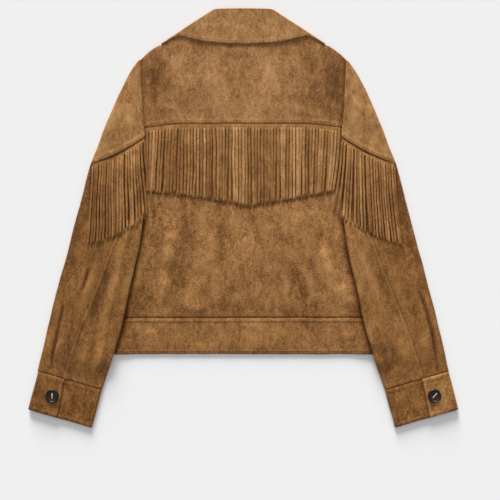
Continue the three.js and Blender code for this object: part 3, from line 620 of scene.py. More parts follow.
HEAD_H0, HEAD_H1 = np.array([float(c) for c in head_curve(0.0)]), np.array([float(c) for c in head_curve(1.0)])
HEAD_A = inner_at(0.0) - edge_normal(inner_x, UNDERARM[1], -1) * R0 * 0.08
HEAD_B = outer_at(0.0) - edge_normal(outer_x, YOKE_E[1], 1) * R0


def plan(s, v):
    s = np.asarray(s, float)
    no, ni = edge_normal(outer_x, outer_at(v)[1], 1), edge_normal(inner_x, inner_at(v)[1], -1)
    keep = gather(v)
    A, B = inner_at(v) - ni * R0 * keep, outer_at(v) - no * R0
    x, y = A[0] + (B[0] - A[0]) * s, A[1] + (B[1] - A[1]) * s
    k = (1 - v) ** 1.6
    if k > 0:
        hx, hy = head_curve(s)
        w0, w1 = 1 - step(s / 0.06), step((s - 0.9) / 0.1)
        tx = hx + (HEAD_A[0] - HEAD_H0[0]) * w0 + (HEAD_B[0] - HEAD_H1[0]) * w1
        ty = hy + (HEAD_A[1] - HEAD_H0[1]) * w0 + (HEAD_B[1] - HEAD_H1[1]) * w1
        x = x + k * (tx - (HEAD_A[0] + (HEAD_B[0] - HEAD_A[0]) * s))
        y = y + k * (ty - (HEAD_A[1] + (HEAD_B[1] - HEAD_A[1]) * s))
    return x, y


def ramp(v):
    ss = np.linspace(0.02, 0.42, 101)
    x, y = plan(ss, v)
    out = np.maximum(x - side(y), y - UNDERARM[1])
    clear = ss[out >= 3.2]
    s1 = max(0.04, float(clear[0]) if len(clear) else 0.4)
    return s1, min(s1 + 0.08 + 0.055 * float(step(v / 0.05)), back_seam(v) - 0.035)


def back_seam(v):
    return float(np.interp(v, [0, 0.2, 0.55, 0.82, 1], [0.36, 0.405, 0.485, 0.55, 0.557]))


def under_z(s, v):
    s1, s2 = ramp(v)
    along = 1 - step((v - 0.83) / 0.09)
    t = np.clip((np.asarray(s, float) - s1) / (s2 - s1), 0, 1)
    return OVER * along * (1 - t)


def puff(s, v):
    """Visual loft of a sleeve's upper side over the plain solid's."""
    return 4.2 * np.clip(4 * s * (1 - s), 0, 1) ** 0.8 * step(v / 0.12) * (1 - 0.97 * step((v - 0.85) / 0.15))


def over_z(s, v):
    x, y = plan(s, v)
    op = np.maximum(step((x - 172) / 42), step((4 - y) / 40))
    return under_z(s, v) + PAIR + FOLD_LOFT * op + puff(np.asarray(s, float), v)


def fold(p, n, top, bottom, deg, flat=1.0):
    r, zc = (top - bottom) / 2, (top + bottom) / 2
    c = p - n * r * flat
    a = np.radians(deg)
    return np.stack([c[0] + n[0] * r * flat * np.sin(a), c[1] + n[1] * r * flat * np.sin(a), zc + r * np.cos(a)], 1)


NV = 150 if FINE else 60
VS = np.concatenate([np.linspace(0, 0.3, NV // 3)[:-1] ** 1.0, np.linspace(0.3, 1, NV - NV // 3)])
SEAM_PTS = [tuple(float(c) for c in np.ravel(plan(back_seam(v), v))) for v in np.linspace(0, 1, 26)]
HEAD_PTS = [tuple(map(float, (a, b))) for a, b in zip(*head_curve(np.linspace(ARM_SHARE, 1, 14)))]
CUFF_SEAM = [tuple(CUFF_IN), tuple(CUFF_OUT)]
INNER_PTS = [tuple(map(float, inner_at(v))) for v in np.linspace(0, 1, 14)]


def top_pts(s, v):
    x, y = plan(s, v)
    return np.stack([x, y, over_z(s, v)], 1)


def low_pts(s, v):
    x, y = plan(s, v)
    return np.stack([x, y, under_z(s, v)], 1)


def seam_ds(v):
    w = max(60.0, float(np.hypot(*(outer_at(v) - inner_at(v)))))
    return 0.07 / w


def sleeve_under_grid(n):
    rows = []
    for v in VS:
        e = back_seam(v) - seam_ds(v)
        f = fold(inner_at(v), edge_normal(inner_x, inner_at(v)[1], -1), float(over_z(0.0, v)), float(under_z(0.0, v)), [86, 72, 58, 44, 30, 15], gather(v))
        rows.append(np.concatenate([f, top_pts(np.linspace(0, e, n), v)]))
    return np.array(rows)


def sleeve_upper_grid(n, m):
    rows = []
    for v in VS:
        b = back_seam(v) + seam_ds(v)
        fo = fold(outer_at(v), edge_normal(outer_x, outer_at(v)[1], 1), float(over_z(1.0, v)), float(under_z(1.0, v)), [15, 35, 55, 75, 95, 115, 135, 155, 170])
        fi = fold(inner_at(v), edge_normal(inner_x, inner_at(v)[1], -1), float(over_z(0.0, v)), float(under_z(0.0, v)), [165, 145, 120, 95], gather(v))
        s1, s2 = ramp(v)
        low = np.concatenate([np.linspace(1, s2 + 0.04, m - 8), np.linspace(s2, s1, 5), np.linspace(s1 * 0.6, 0, 3)])
        rows.append(np.concatenate([top_pts(np.linspace(b, 1, n), v), fo, low_pts(low, v), fi]))
    return np.array(rows)


def cap_grid(n, m):
    rows = []
    ts = np.linspace(0, 1, 60 if FINE else 24)
    um = (MID_SHARE - ARM_SHARE) / (1 - ARM_SHARE)
    for t in ts:
        ya, yo = 268.8 + (YOKE_A[1] - 268.8) * t, 268.3 + (YOKE_E[1] - 268.3) * t
        nrm = edge_normal(outer_x, yo, 1)
        a = np.array([float(armhole(ya)) + SEAM / 2, ya])
        o = np.array([float(outer_x(yo)), yo])
        inset = o - nrm * (PAIR / 2 + (R0 - PAIR / 2) * float(step(t / 0.2)))

        def pt(b):
            x, y = a[0] + (inset[0] - a[0]) * b, a[1] + (inset[1] - a[1]) * b
            s = ARM_SHARE + b * (1 - ARM_SHARE)
            hx, hy = head_curve(s)
            w1 = step((s - 0.9) / 0.1)
            k = t * t
            e = HEAD_B - YOKE_E
            tx, ty = hx + SEAM / 2 * (1 - b) + e[0] * w1, hy + SEAM * 0.8 + e[1] * w1
            return x + k * (tx - (YOKE_A[0] + SEAM / 2 + (HEAD_B[0] - YOKE_A[0] - SEAM / 2) * b)), y + k * (ty - (YOKE_A[1] + (HEAD_B[1] - YOKE_A[1]) * b))

        def up(b):
            x, y = pt(b)
            z = PAIR + FOLD_LOFT * step((x - 172) / 42) + 2.6 * np.clip(4 * b * (1 - b), 0, 1) ** 0.8 * step((t + 0.1) / 0.5)
            return np.stack([x, y, z], 1)
        b = np.linspace(0, 1, n)
        x, y = pt(np.linspace(1, 0, m))
        down = np.stack([x, y, 0 * x], 1)
        u = up(b)
        rr = PAIR / 2 + (R0 - PAIR / 2) * float(step(t / 0.2))
        arc = fold(o, nrm, u[-1][2], 0.0, [15, 35, 55, 75, 95, 115, 135, 155, 170])
        off = (u[-1][2] / 2 - rr) * np.array([nrm[0], nrm[1]])
        arc[:, :2] += off * (1 - np.sin(np.radians([15, 35, 55, 75, 95, 115, 135, 155, 170])))[:, None]
        rows.append(np.concatenate([u, arc, down]))
    return np.array(rows)


def mirror_pts(pts):
    return [(-x, y) for x, y in pts]


def dress(P, sg, fn):
    """Mirrors a base grid if asked and returns it with its grid normals; fn is not used."""
    P = P.copy()
    P[:, :, 0] *= sg
    n = grid_normals(P)
    ref = n[P.shape[0] // 2, P.shape[1] // 3]
    return P, n


def sleeve_relief(x, y, sg, which):
    """Creases and seams of a sleeve, in the real jacket's coordinates."""
    tables = RIGHT_CREASES if sg > 0 else LEFT_CREASES
    z = creases(x, y, tables) + ripple(x, y, 21 if sg > 0 else 22, 0.26)
    pts = SEAM_PTS if sg > 0 else mirror_pts(SEAM_PTS)
    head = HEAD_PTS if sg > 0 else mirror_pts(HEAD_PTS)
    cuffs = CUFF_SEAM if sg > 0 else mirror_pts(CUFF_SEAM)
    arm = ARM_R if sg > 0 else ARM_L
    if which == "cap":
        z = z + seam_profile(x, y, head, width=6.8, up=0.9, dip=0.8)
        z = z + seam_profile(x, y, arm, width=6.0, up=0.9, dip=0.8)
    else:
        keep_upper = which == "upper"
        z = z + seam_profile(x, y, pts, width=6.4, up=0.9 if keep_upper else 0.6, dip=0.05) * step((60 - y) / 20)
        d, tl, sd = polyline_distance(x, y, PLEAT_LINES[1 if sg > 0 else -1][0][0])
        z = z - 0.85 * np.exp(-((d / 1.9) ** 2)) * step(tl / 0.3) + 0.55 * np.exp(-(((d - 4.2) / 2.8) ** 2)) * step(tl / 0.3) * (sd * sg > 0)
        z = z + seam_profile(x, y, cuffs, width=4.5, up=0.35, dip=0.35)
        z = z - 0.5 * np.exp(-((polyline_distance(x, y, head)[0] / 2.0) ** 2))
    return z


def relieve(P, sg, which):
    P = P.copy()
    P[:, :, 0] *= sg
    n = grid_normals(P)
    top = np.argmax(np.abs(n[:, :, 2].mean(axis=0)))
    if n[:, : max(3, P.shape[1] // 4), 2].mean() < 0 and which != "under":
        n = -n
    if which == "under" and n[:, -4:, 2].mean() < 0:
        n = -n
    w = step((n[:, :, 2] - 0.15) / 0.6)
    P[:, :, 2] += w * sleeve_relief(P[:, :, 0], P[:, :, 1], sg, which)
    return P


base_under = sleeve_under_grid(34 if FINE else 16)
base_upper = sleeve_upper_grid(44 if FINE else 20, 26)
base_cap = cap_grid(34 if FINE else 16, 14)

# narrow folds; amount is the painted shade laid along each fold
PLEAT_LINES = {  # narrow dark folds: points, half width, amount
    1: [([(297, -108), (304, -138), (312, -166), (320, -197), (326, -228), (330, -261)], 1.4, 0.28), ([(288, -96), (298, -128), (307, -160)], 1.5, 0.10),
        ([(262, -60), (274, -96), (284, -132), (293, -176)], 1.3, 0.08)],
    -1: [([(-303, -142), (-309, -166), (-316, -198), (-322, -228), (-327, -258)], 1.3, 0.22), ([(-261, -84), (-267, -102), (-273, -122)], 1.6, 0.26),
         ([(-268, -170), (-276, -198), (-288, -232)], 1.5, 0.10)],
}
for tag, sg in (("right", 1), ("left", -1)):
    m = (lambda p: p) if sg > 0 else mirror_pts
    seam_pts, head, inner_pts, cuffs = m(SEAM_PTS), m(HEAD_PTS), m(INNER_PTS), m(CUFF_SEAM)

    def sleeve_tone(x, y, z, base=0.93, seam_pts=seam_pts, cuffs=cuffs, sg=sg):
        t = tone_at(x, y, base=base)
        d, share, _ = polyline_distance(x, y, seam_pts)
        if base < 0.95:  # the turned-under side, held by two rows
            # painted highlight on the raised seam turnings and painted shade in its two stitch grooves
            t = t * (1 + 0.10 * (1 - step((d - 5.4) / 1.4)) * step(share / 0.1)) * (1 - 0.17 * np.exp(-(((d - 6.9) / 1.1) ** 2)) - 0.07 * np.exp(-(((d - 2.6) / 0.8) ** 2)))
        # painted shade in the narrow folds
        for line, width, amount in PLEAT_LINES[sg]:
            dl, tl, _ = polyline_distance(x, y, line)
            t = t * (1 - amount * np.exp(-((dl / width) ** 2)) * step(tl / 0.3) * step((1.02 - tl) / 0.06))
        # painted shade on the sleeve under its fringe
        t = t * (1 - 0.33 * step((y - sleeve_hem(np.abs(x)) - 2) / 4) * step((264 - np.abs(x)) / 6))
        # painted highlight along the inner fold's edge
        di, _, _ = polyline_distance(x, y, INNER_PTS if sg > 0 else mirror_pts(INNER_PTS))
        t = t * (1 + 0.08 * np.exp(-(((di - 5) / 3.6) ** 2)))
        # painted shade in the sleeve seam and the cuff seam
        return t * darken(x, y, seam_pts, 0.8, 0.03) * darken(x, y, cuffs, 1.0, 0.05)
    shell(f"sleeve_under_{tag}_hide", relieve(base_under, sg, "under"), [f"sleeve_under_{tag}"], ref=(60 if FINE else 30, base_under.shape[1] - 4),
          tone_fn=lambda x, y, z, f=sleeve_tone: f(x, y, z, 0.97), fold_shade_rows=RIGHT_CREASES if sg > 0 else LEFT_CREASES)
    shell(f"sleeve_upper_{tag}_hide", relieve(base_upper, sg, "upper"), [f"sleeve_upper_{tag}"], ref=(60 if FINE else 30, 6),
          tone_fn=lambda x, y, z, f=sleeve_tone: f(x, y, z, 0.93), fold_shade_rows=RIGHT_CREASES if sg > 0 else LEFT_CREASES)
    # sleeve head: painted shade along the head seam
    shell(f"sleeve_yoke_{tag}_hide", relieve(base_cap, sg, "cap"), [f"sleeve_yoke_{tag}"], ref=(20 if FINE else 10, 4),
          tone_fn=lambda x, y, z, h=head: tone_at(x, y, base=1.0) * darken(x, y, h, 1.5, 0.12), fold_shade_rows=RIGHT_CREASES if sg > 0 else LEFT_CREASES)

# ------------------------------------------------------------------ cuffs
TAB = PAIR + FOLD_LOFT + LAYER + WALL


def cuff_grid(n):
    rows = []
    for v in np.linspace(0, 1, 30 if FINE else 12):
        a, b = CUFF_IN + (HEMC_IN - CUFF_IN) * v, CUFF_OUT + (HEMC_OUT - CUFF_OUT) * v
        ln = float(np.hypot(*(b - a)))
        e = (b - a) / ln
        drop = 0.35 * (1 - v)
        a, b = a - [0, drop], b - [0, drop]
        rt, ri = TAB / 2, (PAIR + FOLD_LOFT) / 2
        q0 = (SPLIT_TOP + (SPLIT_BOTTOM - SPLIT_TOP) * v) * ln

        def lay(q, z):
            return np.stack([a[0] + e[0] * q, a[1] + e[1] * q, z + 0 * q], 1)
        qt = np.linspace(q0, ln - rt, n)
        zt = TAB + 0.9 * np.sin(np.pi * np.clip((qt - q0) / (ln - rt - q0), 0, 1)) ** 0.6 * 0.5
        ql = np.linspace(ri, q0 + UNDERLAP * ln, n + 12)
        zl = PAIR + FOLD_LOFT + 0 * ql
        rows.append(np.concatenate([lay(qt, zt), fold(b, e, TAB, 0.0, [15, 35, 55, 75, 95, 115, 135, 155, 170]),
                                    lay(np.linspace(ln - rt, ri, 14), 0.0), fold(a, -e, PAIR + FOLD_LOFT, 0.0, [170, 145, 120, 95, 70, 45, 20]), lay(ql, zl)]))
    return np.array(rows)


base_cuff = cuff_grid(24 if FINE else 10)
for tag, sg in (("right", 1), ("left", -1)):
    P = base_cuff.copy()
    P[:, :, 0] *= sg
    m = (lambda p: p) if sg > 0 else mirror_pts
    top_edge, low_edge = m(CUFF_SEAM), m([tuple(HEMC_IN), tuple(HEMC_OUT)])
    split = m([tuple(CUFF_IN + (CUFF_OUT - CUFF_IN) * SPLIT_TOP), tuple(HEMC_IN + (HEMC_OUT - HEMC_IN) * SPLIT_BOTTOM)])
    up = P[:, :, 2] > PAIR + FOLD_LOFT - 0.4
    x, y = P[:, :, 0], P[:, :, 1]
    rel = ripple(x, y, 31 if sg > 0 else 32, 0.22)
    for line in (top_edge, low_edge):
        d, _, _ = polyline_distance(x, y, line)
        rel = rel + 0.5 * np.exp(-(((d - 4.2) / 2.2) ** 2)) - 0.3 * np.exp(-(((d - 6.0) / 0.8) ** 2)) - 0.5 * (1 - step(d / 1.4))
    nt = 24 if FINE else 10
    d, _, _ = polyline_distance(x, y, split)
    ridge = 0.4 * np.exp(-(((d - 3.8) / 2.0) ** 2)) - 0.35 * np.exp(-(((d - 5.4) / 0.8) ** 2))
    tabmask = np.zeros(P.shape[:2]); tabmask[:, :nt] = 1
    P[:, :, 2] += np.where(up, rel + ridge * tabmask, 0)
    under = np.zeros(P.shape[:2]); under[:, -(nt + 12):] = 1
    P[:, :, 2] = np.where((under > 0) & (d < 30) & up, np.minimum(P[:, :, 2], PAIR + FOLD_LOFT + 0.3), P[:, :, 2])

    def cuff_tone(x, y, z, sg=sg, split=split):
        t = tone_at(x, y, base=0.96 if sg > 0 else 0.9)
        d, _, s = polyline_distance(x, y, split)
        outerside = (s * sg) > 0
        t = t * np.where(outerside, 1.10 if sg > 0 else 1.0, 0.97)
        # painted shadow on the inner part beside the tab's edge and a painted highlight along the tab's edge
        return t * np.where(~outerside, 1 - (0.22 if sg > 0 else 0.08) * np.exp(-((d / 2.0) ** 2)), 1 + 0.10 * np.exp(-(((d - 2.2) / 1.8) ** 2)))
    shell(f"cuff_{tag}_hide", P, [f"cuff_{tag}"], ref=(10, 3), tone_fn=cuff_tone)

# ------------------------------------------------------------------ collar
LEAF_Z = WING + PAIR + LAYER + WALL
CR, TURN = LEAF_Z / 2, PAIR / 2
CREASE = np.array([0.547, 0.837])
COLLAR = [  # k, lx, ly, tx, ty, nx, ny
    (0, 0, 296, 0, 354.7, 0, 322.4), (0.22, 30, 296.7, 12, 354.7, 22, 322.8), (0.45, 62, 299.6, 25, 354.7, 44, 323.8),
    (0.68, 92, 305.6, 38, 354.6, 63, 325.8), (0.84, 110, 309.3, 47, 354.2, 74, 328), (1, 138.4, 295.3, 52, 351.8, 80.5, 331),
]
WINGS = [
    (1, 138.4, 295.3, 52, 351.8, 80.5, 331), (1.3, 134, 272, 50, 334, 76, 312), (1.65, 120, 244, 36, 300, 54, 284), (2, 92, 221, 10, 279, 13, 267.5),
]


def smooth_rows(table, n, sharp=()):
    k = np.array([r[0] for r in table], float)
    kk = np.linspace(k[0], k[-1], n)
    out = [kk]
    for c in range(1, 7):
        v = np.array([r[c] for r in table], float)
        # monotone cubic
        h = np.diff(k); dl = np.diff(v) / h
        m = np.zeros(len(k)); m[0], m[-1] = dl[0], dl[-1]
        for i in range(1, len(k) - 1):
            m[i] = 0 if dl[i - 1] * dl[i] <= 0 else 2 / (1 / dl[i - 1] + 1 / dl[i])
        if table is COLLAR and c in (2, 4, 6):
            m[0] = 0
        idx = np.clip(np.searchsorted(k, kk) - 1, 0, len(k) - 2)
        t = (kk - k[idx]) / h[idx]
        out.append((1 + 2 * t) * (1 - t) ** 2 * v[idx] + t * (1 - t) ** 2 * h[idx] * m[idx] + t * t * (3 - 2 * t) * v[idx + 1] + t * t * (t - 1) * h[idx] * m[idx + 1])
    return np.array(out).T


def collar_row(c, height, shift, back):
    L, T, N = np.array([c[1], c[2]]), np.array([c[3], c[4]]), np.array([c[5], c[6]])
    u = (T - L) / np.hypot(*(T - L))

    def at(p, d, along=0.0):
        q = p + u * along + shift(d)
        return [q[0], q[1], height(d)]
    row = [at(L + (T - L) * t, 0.0) for t in np.linspace(0, 1, 26)]
    keep = 1.0 if back else 0.4
    row += [at(T, TURN - TURN * math.cos(a), TURN * keep * math.sin(a)) for a in np.radians([20, 40, 60, 80, 100, 120, 140, 160])]
    row += [at(T + (N - T) * t, PAIR) for t in np.linspace(0, 1, 10)]
    return row


half = [collar_row(c, lambda d: LEAF_Z - d, lambda d: np.zeros(2), True) for c in smooth_rows(COLLAR, 60)]
c1 = COLLAR[-1]
for deg in np.linspace(12, 168, 9):
    a = math.radians(deg)
    half.append(collar_row(c1, lambda d: CR + (CR - d) * math.cos(a), lambda d: CREASE * (CR - d) * math.sin(a) * 0.55, False))
half += [collar_row(c, lambda d: d, lambda d: np.zeros(2), False) for c in smooth_rows(WINGS, 22)]
half = np.array(half)
left = half[1:][::-1].copy()
left[:, :, 0] *= -1
P = np.concatenate([left, half])
x, y = P[:, :, 0], P[:, :, 1]
COLLAR_EDGE = [(-r[1], r[2]) for r in smooth_rows(COLLAR, 30)[:-2][::-1]] + [(r[1], r[2]) for r in smooth_rows(COLLAR, 30)[:-2]]
d, _, _ = polyline_distance(x, y, COLLAR_EDGE)
topm = (P[:, :, 2] > LEAF_Z - 0.6)
leafcol = np.zeros(P.shape[:2]); leafcol[:, :27] = 1
bell = np.clip((LEAF_Z - 0.0 - 0) * 0 + np.clip(1 - (np.abs(x) / 128) ** 4, 0, 1), 0, 1)
rel = ripple(x, y, 41, 0.3) + 1.6 * bell * (0.35 + 0.65 * np.clip((y - 296) / 55, 0, 1)) + 0.8 * bell * np.exp(-((d / 9) ** 2))
rel = rel + 0.35 * np.exp(-(((d - 4.4) / 2.0) ** 2)) - 0.35 * np.exp(-(((d - 6.4) / 0.9) ** 2))
P[:, :, 2] += np.where(topm & (leafcol > 0), rel, 0)
turn = np.zeros(P.shape[1]); turn[26:34] = np.sin(np.linspace(0.2, math.pi * 0.9, 8))
P[:, :, 2] += 1.1 * bell * turn[None, :] * (P[:, :, 2] > PAIR)


def collar_tone(x, y, z):
    # painted shade on the collar's lower layers under the leaf and on its tips
    return tone_at(x, y, base=1.02) * np.where(z < 5.4, 0.84, 1.0) * (1 - 0.16 * step((np.abs(x) - 112) / 14))


collar = shell("collar_hide", P, ["collar"], ref=(P.shape[0] // 2, 8), tone_fn=collar_tone)

# ------------------------------------------------------------------ what lies on the hides is dropped onto them
def tree_of(names):
    verts, faces = [], []
    for n in names:
        me = PIECES[n].data
        co = np.empty(len(me.vertices) * 3)
        me.vertices.foreach_get("co", co)
        base = len(verts)
        verts.extend((co.reshape(-1, 3) * 1000).tolist())
        faces.extend([[base + i for i in p.vertices] for p in me.polygons])
    return BVHTree.FromPolygons(verts, faces)


def drop(tree, x, y, default=0.0):
    hit = tree.ray_cast(Vector((float(x), float(y), 80.0)), Vector((0, 0, -1)))
    return (hit[0].z, hit[1]) if hit[0] is not None else (default, Vector((0, 0, 1)))


ALL = list(PIECES)
TREE = tree_of([n for n in ALL if not n.startswith("front")])
rng = np.random.default_rng(11)


def strand_mesh(paths):
    """One mesh of many strands. Each path: list of (x, y, z, half width, half thickness, roll)."""
    V, F, T = [], [], []
    sec = [(-1, 0.0), (-0.86, 0.9), (0.0, 1.0), (0.86, 0.9), (1, 0.0), (0.86, -0.9), (0.0, -1.0), (-0.86, -0.9)]
    for path, tone in paths:
        base = len(V)
        n = len(path)
        for i, (x, y, z, hw, ht, roll) in enumerate(path):
            a = np.array(path[max(0, i - 1)][:2]); b = np.array(path[min(n - 1, i + 1)][:2])
            t = (b - a) / max(1e-6, np.hypot(*(b - a)))
            side_v = np.array([-t[1], t[0]])
            if side_v[0] < 0: side_v = -side_v
            for u, w in sec:
                du, dz = u * hw * math.cos(roll) - w * ht * math.sin(roll), u * hw * math.sin(roll) + w * ht * math.cos(roll)
                V.append([x + side_v[0] * du, y + side_v[1] * du, z + dz])
                # painted highlight on the strand's top face and painted shade on its edges and underside
                T.append([tone * (1.03 if w > 0.95 else 0.99 if w > 0 else 0.8 if abs(u) >= 1 else 0.7)] * 3)
        k = len(sec)
        for i in range(n - 1):
            for j in range(k):
                j2 = (j + 1) % k
                F.append([base + i * k + j, base + i * k + j2, base + (i + 1) * k + j2, base + (i + 1) * k + j])
        F.append([base + j for j in range(k)][::-1])
        F.append([base + (n - 1) * k + j for j in range(k)])
    V = np.array(V)
    vol = 0
    for f in F:
        p = V[f]
        for q in range(1, len(f) - 1):
            vol += np.dot(p[0], np.cross(p[q], p[q + 1]))
    if vol < 0:
        F = [f[::-1] for f in F]
    return V, F, np.array(T)


BANDS = [  # soft light and dark bands across a fringe: x, half width, change
    (-150, 12, 0.02), (-128, 12, -0.05), (-92, 16, 0.03), (-48, 12, -0.09), (-14, 12, 0.05), (10, 8, -0.03), (37, 10, -0.08), (62, 9, 0.03), (88, 14, 0.08), (122, 10, -0.03), (146, 9, 0.04),
    (176, 12, -0.04), (204, 10, 0.04), (226, 9, -0.05), (246, 8, 0.02), (262, 8, -0.04),
    (-172, 9, -0.06), (-192, 9, 0.03), (-214, 9, -0.05), (-234, 9, 0.05), (-254, 8, -0.03),
]


def fringe_wear(x, y):
    w = 0.05 * noise2(x, y, 34, 71)
    for bx, hw, ch in BANDS:
        w = w + ch * np.exp(-(((x - bx - 6 * noise2(x * 0, y, 60, 72)) / hw) ** 2))
    return w + 0.05 * step((y - 118) / 34) - 0.03 * step((60 - y) / 60)


def fringe(name, replaces, tops, top_y, low_y, drift, tree, seed, width=5.1, base=1.0):
    r = np.random.default_rng(seed)
    paths = []
    n = len(tops)
    seg = 26 if FINE else 12
    for i, x0 in enumerate(tops):
        y0, y1 = float(top_y(x0)), float(low_y(x0)) + r.normal(0, 0.9)
        dx = float(drift(i / max(1, n - 1))) + r.normal(0, 0.9)
        sw, ph = r.normal(0, 0.7), r.uniform(0, math.tau)
        hw = width / 2 * r.uniform(0.80, 1.04)
        level = r.choice([0.0, 0.35, 0.8, 1.3], p=[0.3, 0.3, 0.25, 0.15]) + (0.9 if n < 30 and i < 3 else 0.0)
        roll0, roll1 = r.normal(0, 0.05), r.normal(0, 0.20)
        tone = base * r.uniform(0.86, 1.08)
        path = []
        for k in range(seg):
            t = k / (seg - 1)
            y = y0 + (y1 - y0) * t
            x = x0 + dx * t ** 1.4 + sw * math.sin(ph + t * 4.2) * t
            z, nrm = drop(tree, x, y)
            up = 0.25 + 0.72 + level * step(t / 0.2) + 0.9 * step((t - 0.1) / 0.5) * abs(sw) * 0.4 + 0.5 * step((t - 0.8) / 0.2) * r.uniform(0.0, 0.5)
            roll = roll0 + (roll1 - roll0) * t + 0.10 * math.sin(ph + 7 * t)
            roll += 0.0
            path.append([x, y, z + up + abs(math.sin(roll)) * hw, hw * (1 + 0.04 * math.sin(9 * t + ph)), 0.62, roll])
        # keep the height smooth along the strand
        zz = np.array([p[2] for p in path])
        for _ in range(3):
            zz[1:-1] = np.maximum(zz[1:-1] * 0.5 + (zz[:-2] + zz[2:]) * 0.25, zz[1:-1] - 0.05)
        for p, zv in zip(path, zz):
            p[2] = float(zv)
        paths.append((path, tone * float(SHADE((y0 + y1) / 2))))
    V, F, T = strand_mesh(paths)
    ob = to_object(name, V, F, replaces, T, nap_and_fold_shade=fringe_wear(V[:, 0], V[:, 1]))
    mod = ob.modifiers.new("soft", "BEVEL")
    mod.width = 0.00018
    mod.segments = 1
    mod.limit_method = "ANGLE"
    area = sum(sum(math.hypot(p[k + 1][0] - p[k][0], p[k + 1][1] - p[k][1]) * (p[k][3] + p[k + 1][3]) for k in range(len(p) - 1)) for p, _ in paths)
    return ob, area * 1e-6


def header(name, xs, top_fn, depth, tree, seed):
    """The uncut top of a fringe strip, which shows below the seam."""
    rows = []
    for t in np.linspace(0, 1, 7):
        row = []
        for x in xs:
            y = float(top_fn(x)) - SEAM - depth * t
            z, _ = drop(tree, x, y)
            row.append([x, y, z + 0.25 + 1.3 - 0.5 * (1 - t) ** 3])
        rows.append(row)
    P = np.array(rows)
    k = np.array([1, 2, 3, 2, 1], float); k /= k.sum()
    for i in range(P.shape[0]):
        z = np.convolve(np.pad(P[i, :, 2], 2, mode="edge"), k, mode="valid")
        P[i, :, 2] = np.maximum(P[i, :, 2], z)
    # painted shade along the seam at the header's top edge
    return shell(name, P, [], thick=1.1, tone_fn=lambda x, y, z: tone_at(x, y, base=0.97) * darken(x, y, [(a, float(top_fn(a))) for a in xs[::6]], 1.3, 0.2))


tops = np.linspace(-163.2, 163, 61) + rng.normal(0, 0.3, 61)
fb, area_fb = fringe("fringe_back_strands", ["fringe_back"], tops, lambda x: yoke_y(x) - 6.2, lambda x: fringe_hem(x),
                     lambda t: float(np.interp(t, [0, 0.04, 0.1, 0.2, 0.5, 0.85, 0.93, 1], [1.0, -6, -5.5, -1.5, 0.5, -1.5, -6, -12.0])), TREE, 5)
hb = header("fringe_back_header", np.linspace(-165.4, 165.4, 120), yoke_y, 6.6, TREE, 3)

yoke_sl = interp([(x, y) for x, y in zip(*[c.tolist() for c in head_curve(np.linspace(ARM_SHARE, 1, 14))])], 2)
fringe_info = {}
for tag, sg in (("right", 1), ("left", -1)):
    xs = np.linspace(168.5, 256.5, 21) + np.random.default_rng(60 + sg).normal(0, 0.5, 21)
    top_fn = (lambda x: yoke_sl(np.abs(x)))
    ob, area = fringe(f"fringe_sleeve_{tag}_strands", [f"fringe_sleeve_{tag}"], sg * xs, lambda x: top_fn(x) - 6.4, lambda x: sleeve_hem(abs(x)),
                      (lambda t, sg=sg: sg * float(np.interp(t, *(([0, 0.12, 0.3, 0.5, 0.8, 1], [-15, -8, 0.5, 5.5, 8.5, 12.5]) if sg > 0 else ([0, 0.1, 0.25, 0.5, 0.8, 1], [-14, -10, -4, 0, 4, 7.5]))))), TREE, 70 + sg, width=4.15, base=0.95)
    hd = header(f"fringe_sleeve_{tag}_header", (sg * np.linspace(168.6, 256, 60))[::sg], top_fn, 6.8, TREE, 4)
    fringe_info[tag] = (ob, area, hd)


# ------------------------------------------------------------------ stitches
def stitch_row(pts, pitch=3.4, length=2.5):
    """Positions along a polyline at even spacing."""
    pts = np.array(pts, float)
    seg = np.hypot(*np.diff(pts, axis=0).T)
    s = np.concatenate([[0], np.cumsum(seg)])
    out = []
    q = pitch
    while q < s[-1] - pitch:
        a = [np.interp(q - length / 2, s, pts[:, k]) for k in (0, 1)]
        b = [np.interp(q + length / 2, s, pts[:, k]) for k in (0, 1)]
        out.append((a, b))
        q += pitch
    return out


def offset(pts, d):
    pts = np.array(pts, float)
    t = np.gradient(pts, axis=0)
    t /= np.hypot(t[:, 0], t[:, 1])[:, None]
    return [tuple(p + d * np.array([-q[1], q[0]])) for p, q in zip(pts, t)]


def stitches(name, lines, tree, rad=0.3):
    V, F = [], []
    prof = [(0.0, 0.15), (0.18, 0.9), (0.5, 1.0), (0.82, 0.9), (1.0, 0.15)]
    for line in lines:
        for a, b in stitch_row(line):
            za, _ = drop(tree, *a)
            zb, _ = drop(tree, *b)
            if abs(za - zb) > 1.5:
                continue
            d = np.array([b[0] - a[0], b[1] - a[1]])
            n = np.array([-d[1], d[0]]) / max(1e-6, np.hypot(*d))
            base = len(V)
            for t, k in prof:
                cx, cy, cz = a[0] + d[0] * t, a[1] + d[1] * t, za + (zb - za) * t + rad * (0.15 + 0.75 * math.sin(math.pi * t))
                for ang in (0, 60, 120, 180, 240, 300):
                    c, s = math.cos(math.radians(ang)), math.sin(math.radians(ang))
                    V.append([cx + n[0] * rad * k * c, cy + n[1] * rad * k * c, cz + rad * k * s])
            for i in range(len(prof) - 1):
                for j in range(6):
                    F.append([base + i * 6 + j, base + i * 6 + (j + 1) % 6, base + (i + 1) * 6 + (j + 1) % 6, base + (i + 1) * 6 + j])
            F.append([base + j for j in range(6)][::-1])
            F.append([base + 24 + j for j in range(6)])
    V = np.array(V)
    return to_object(name, V, F, [], None)


def away(pts, x0, y0, dist):
    """Offset to the side facing (x0, y0)."""
    a, b = offset(pts, dist), offset(pts, -dist)
    da = np.mean([math.hypot(p[0] - x0, p[1] - y0) for p in a])
    db = np.mean([math.hypot(p[0] - x0, p[1] - y0) for p in b])
    return a if da < db else b


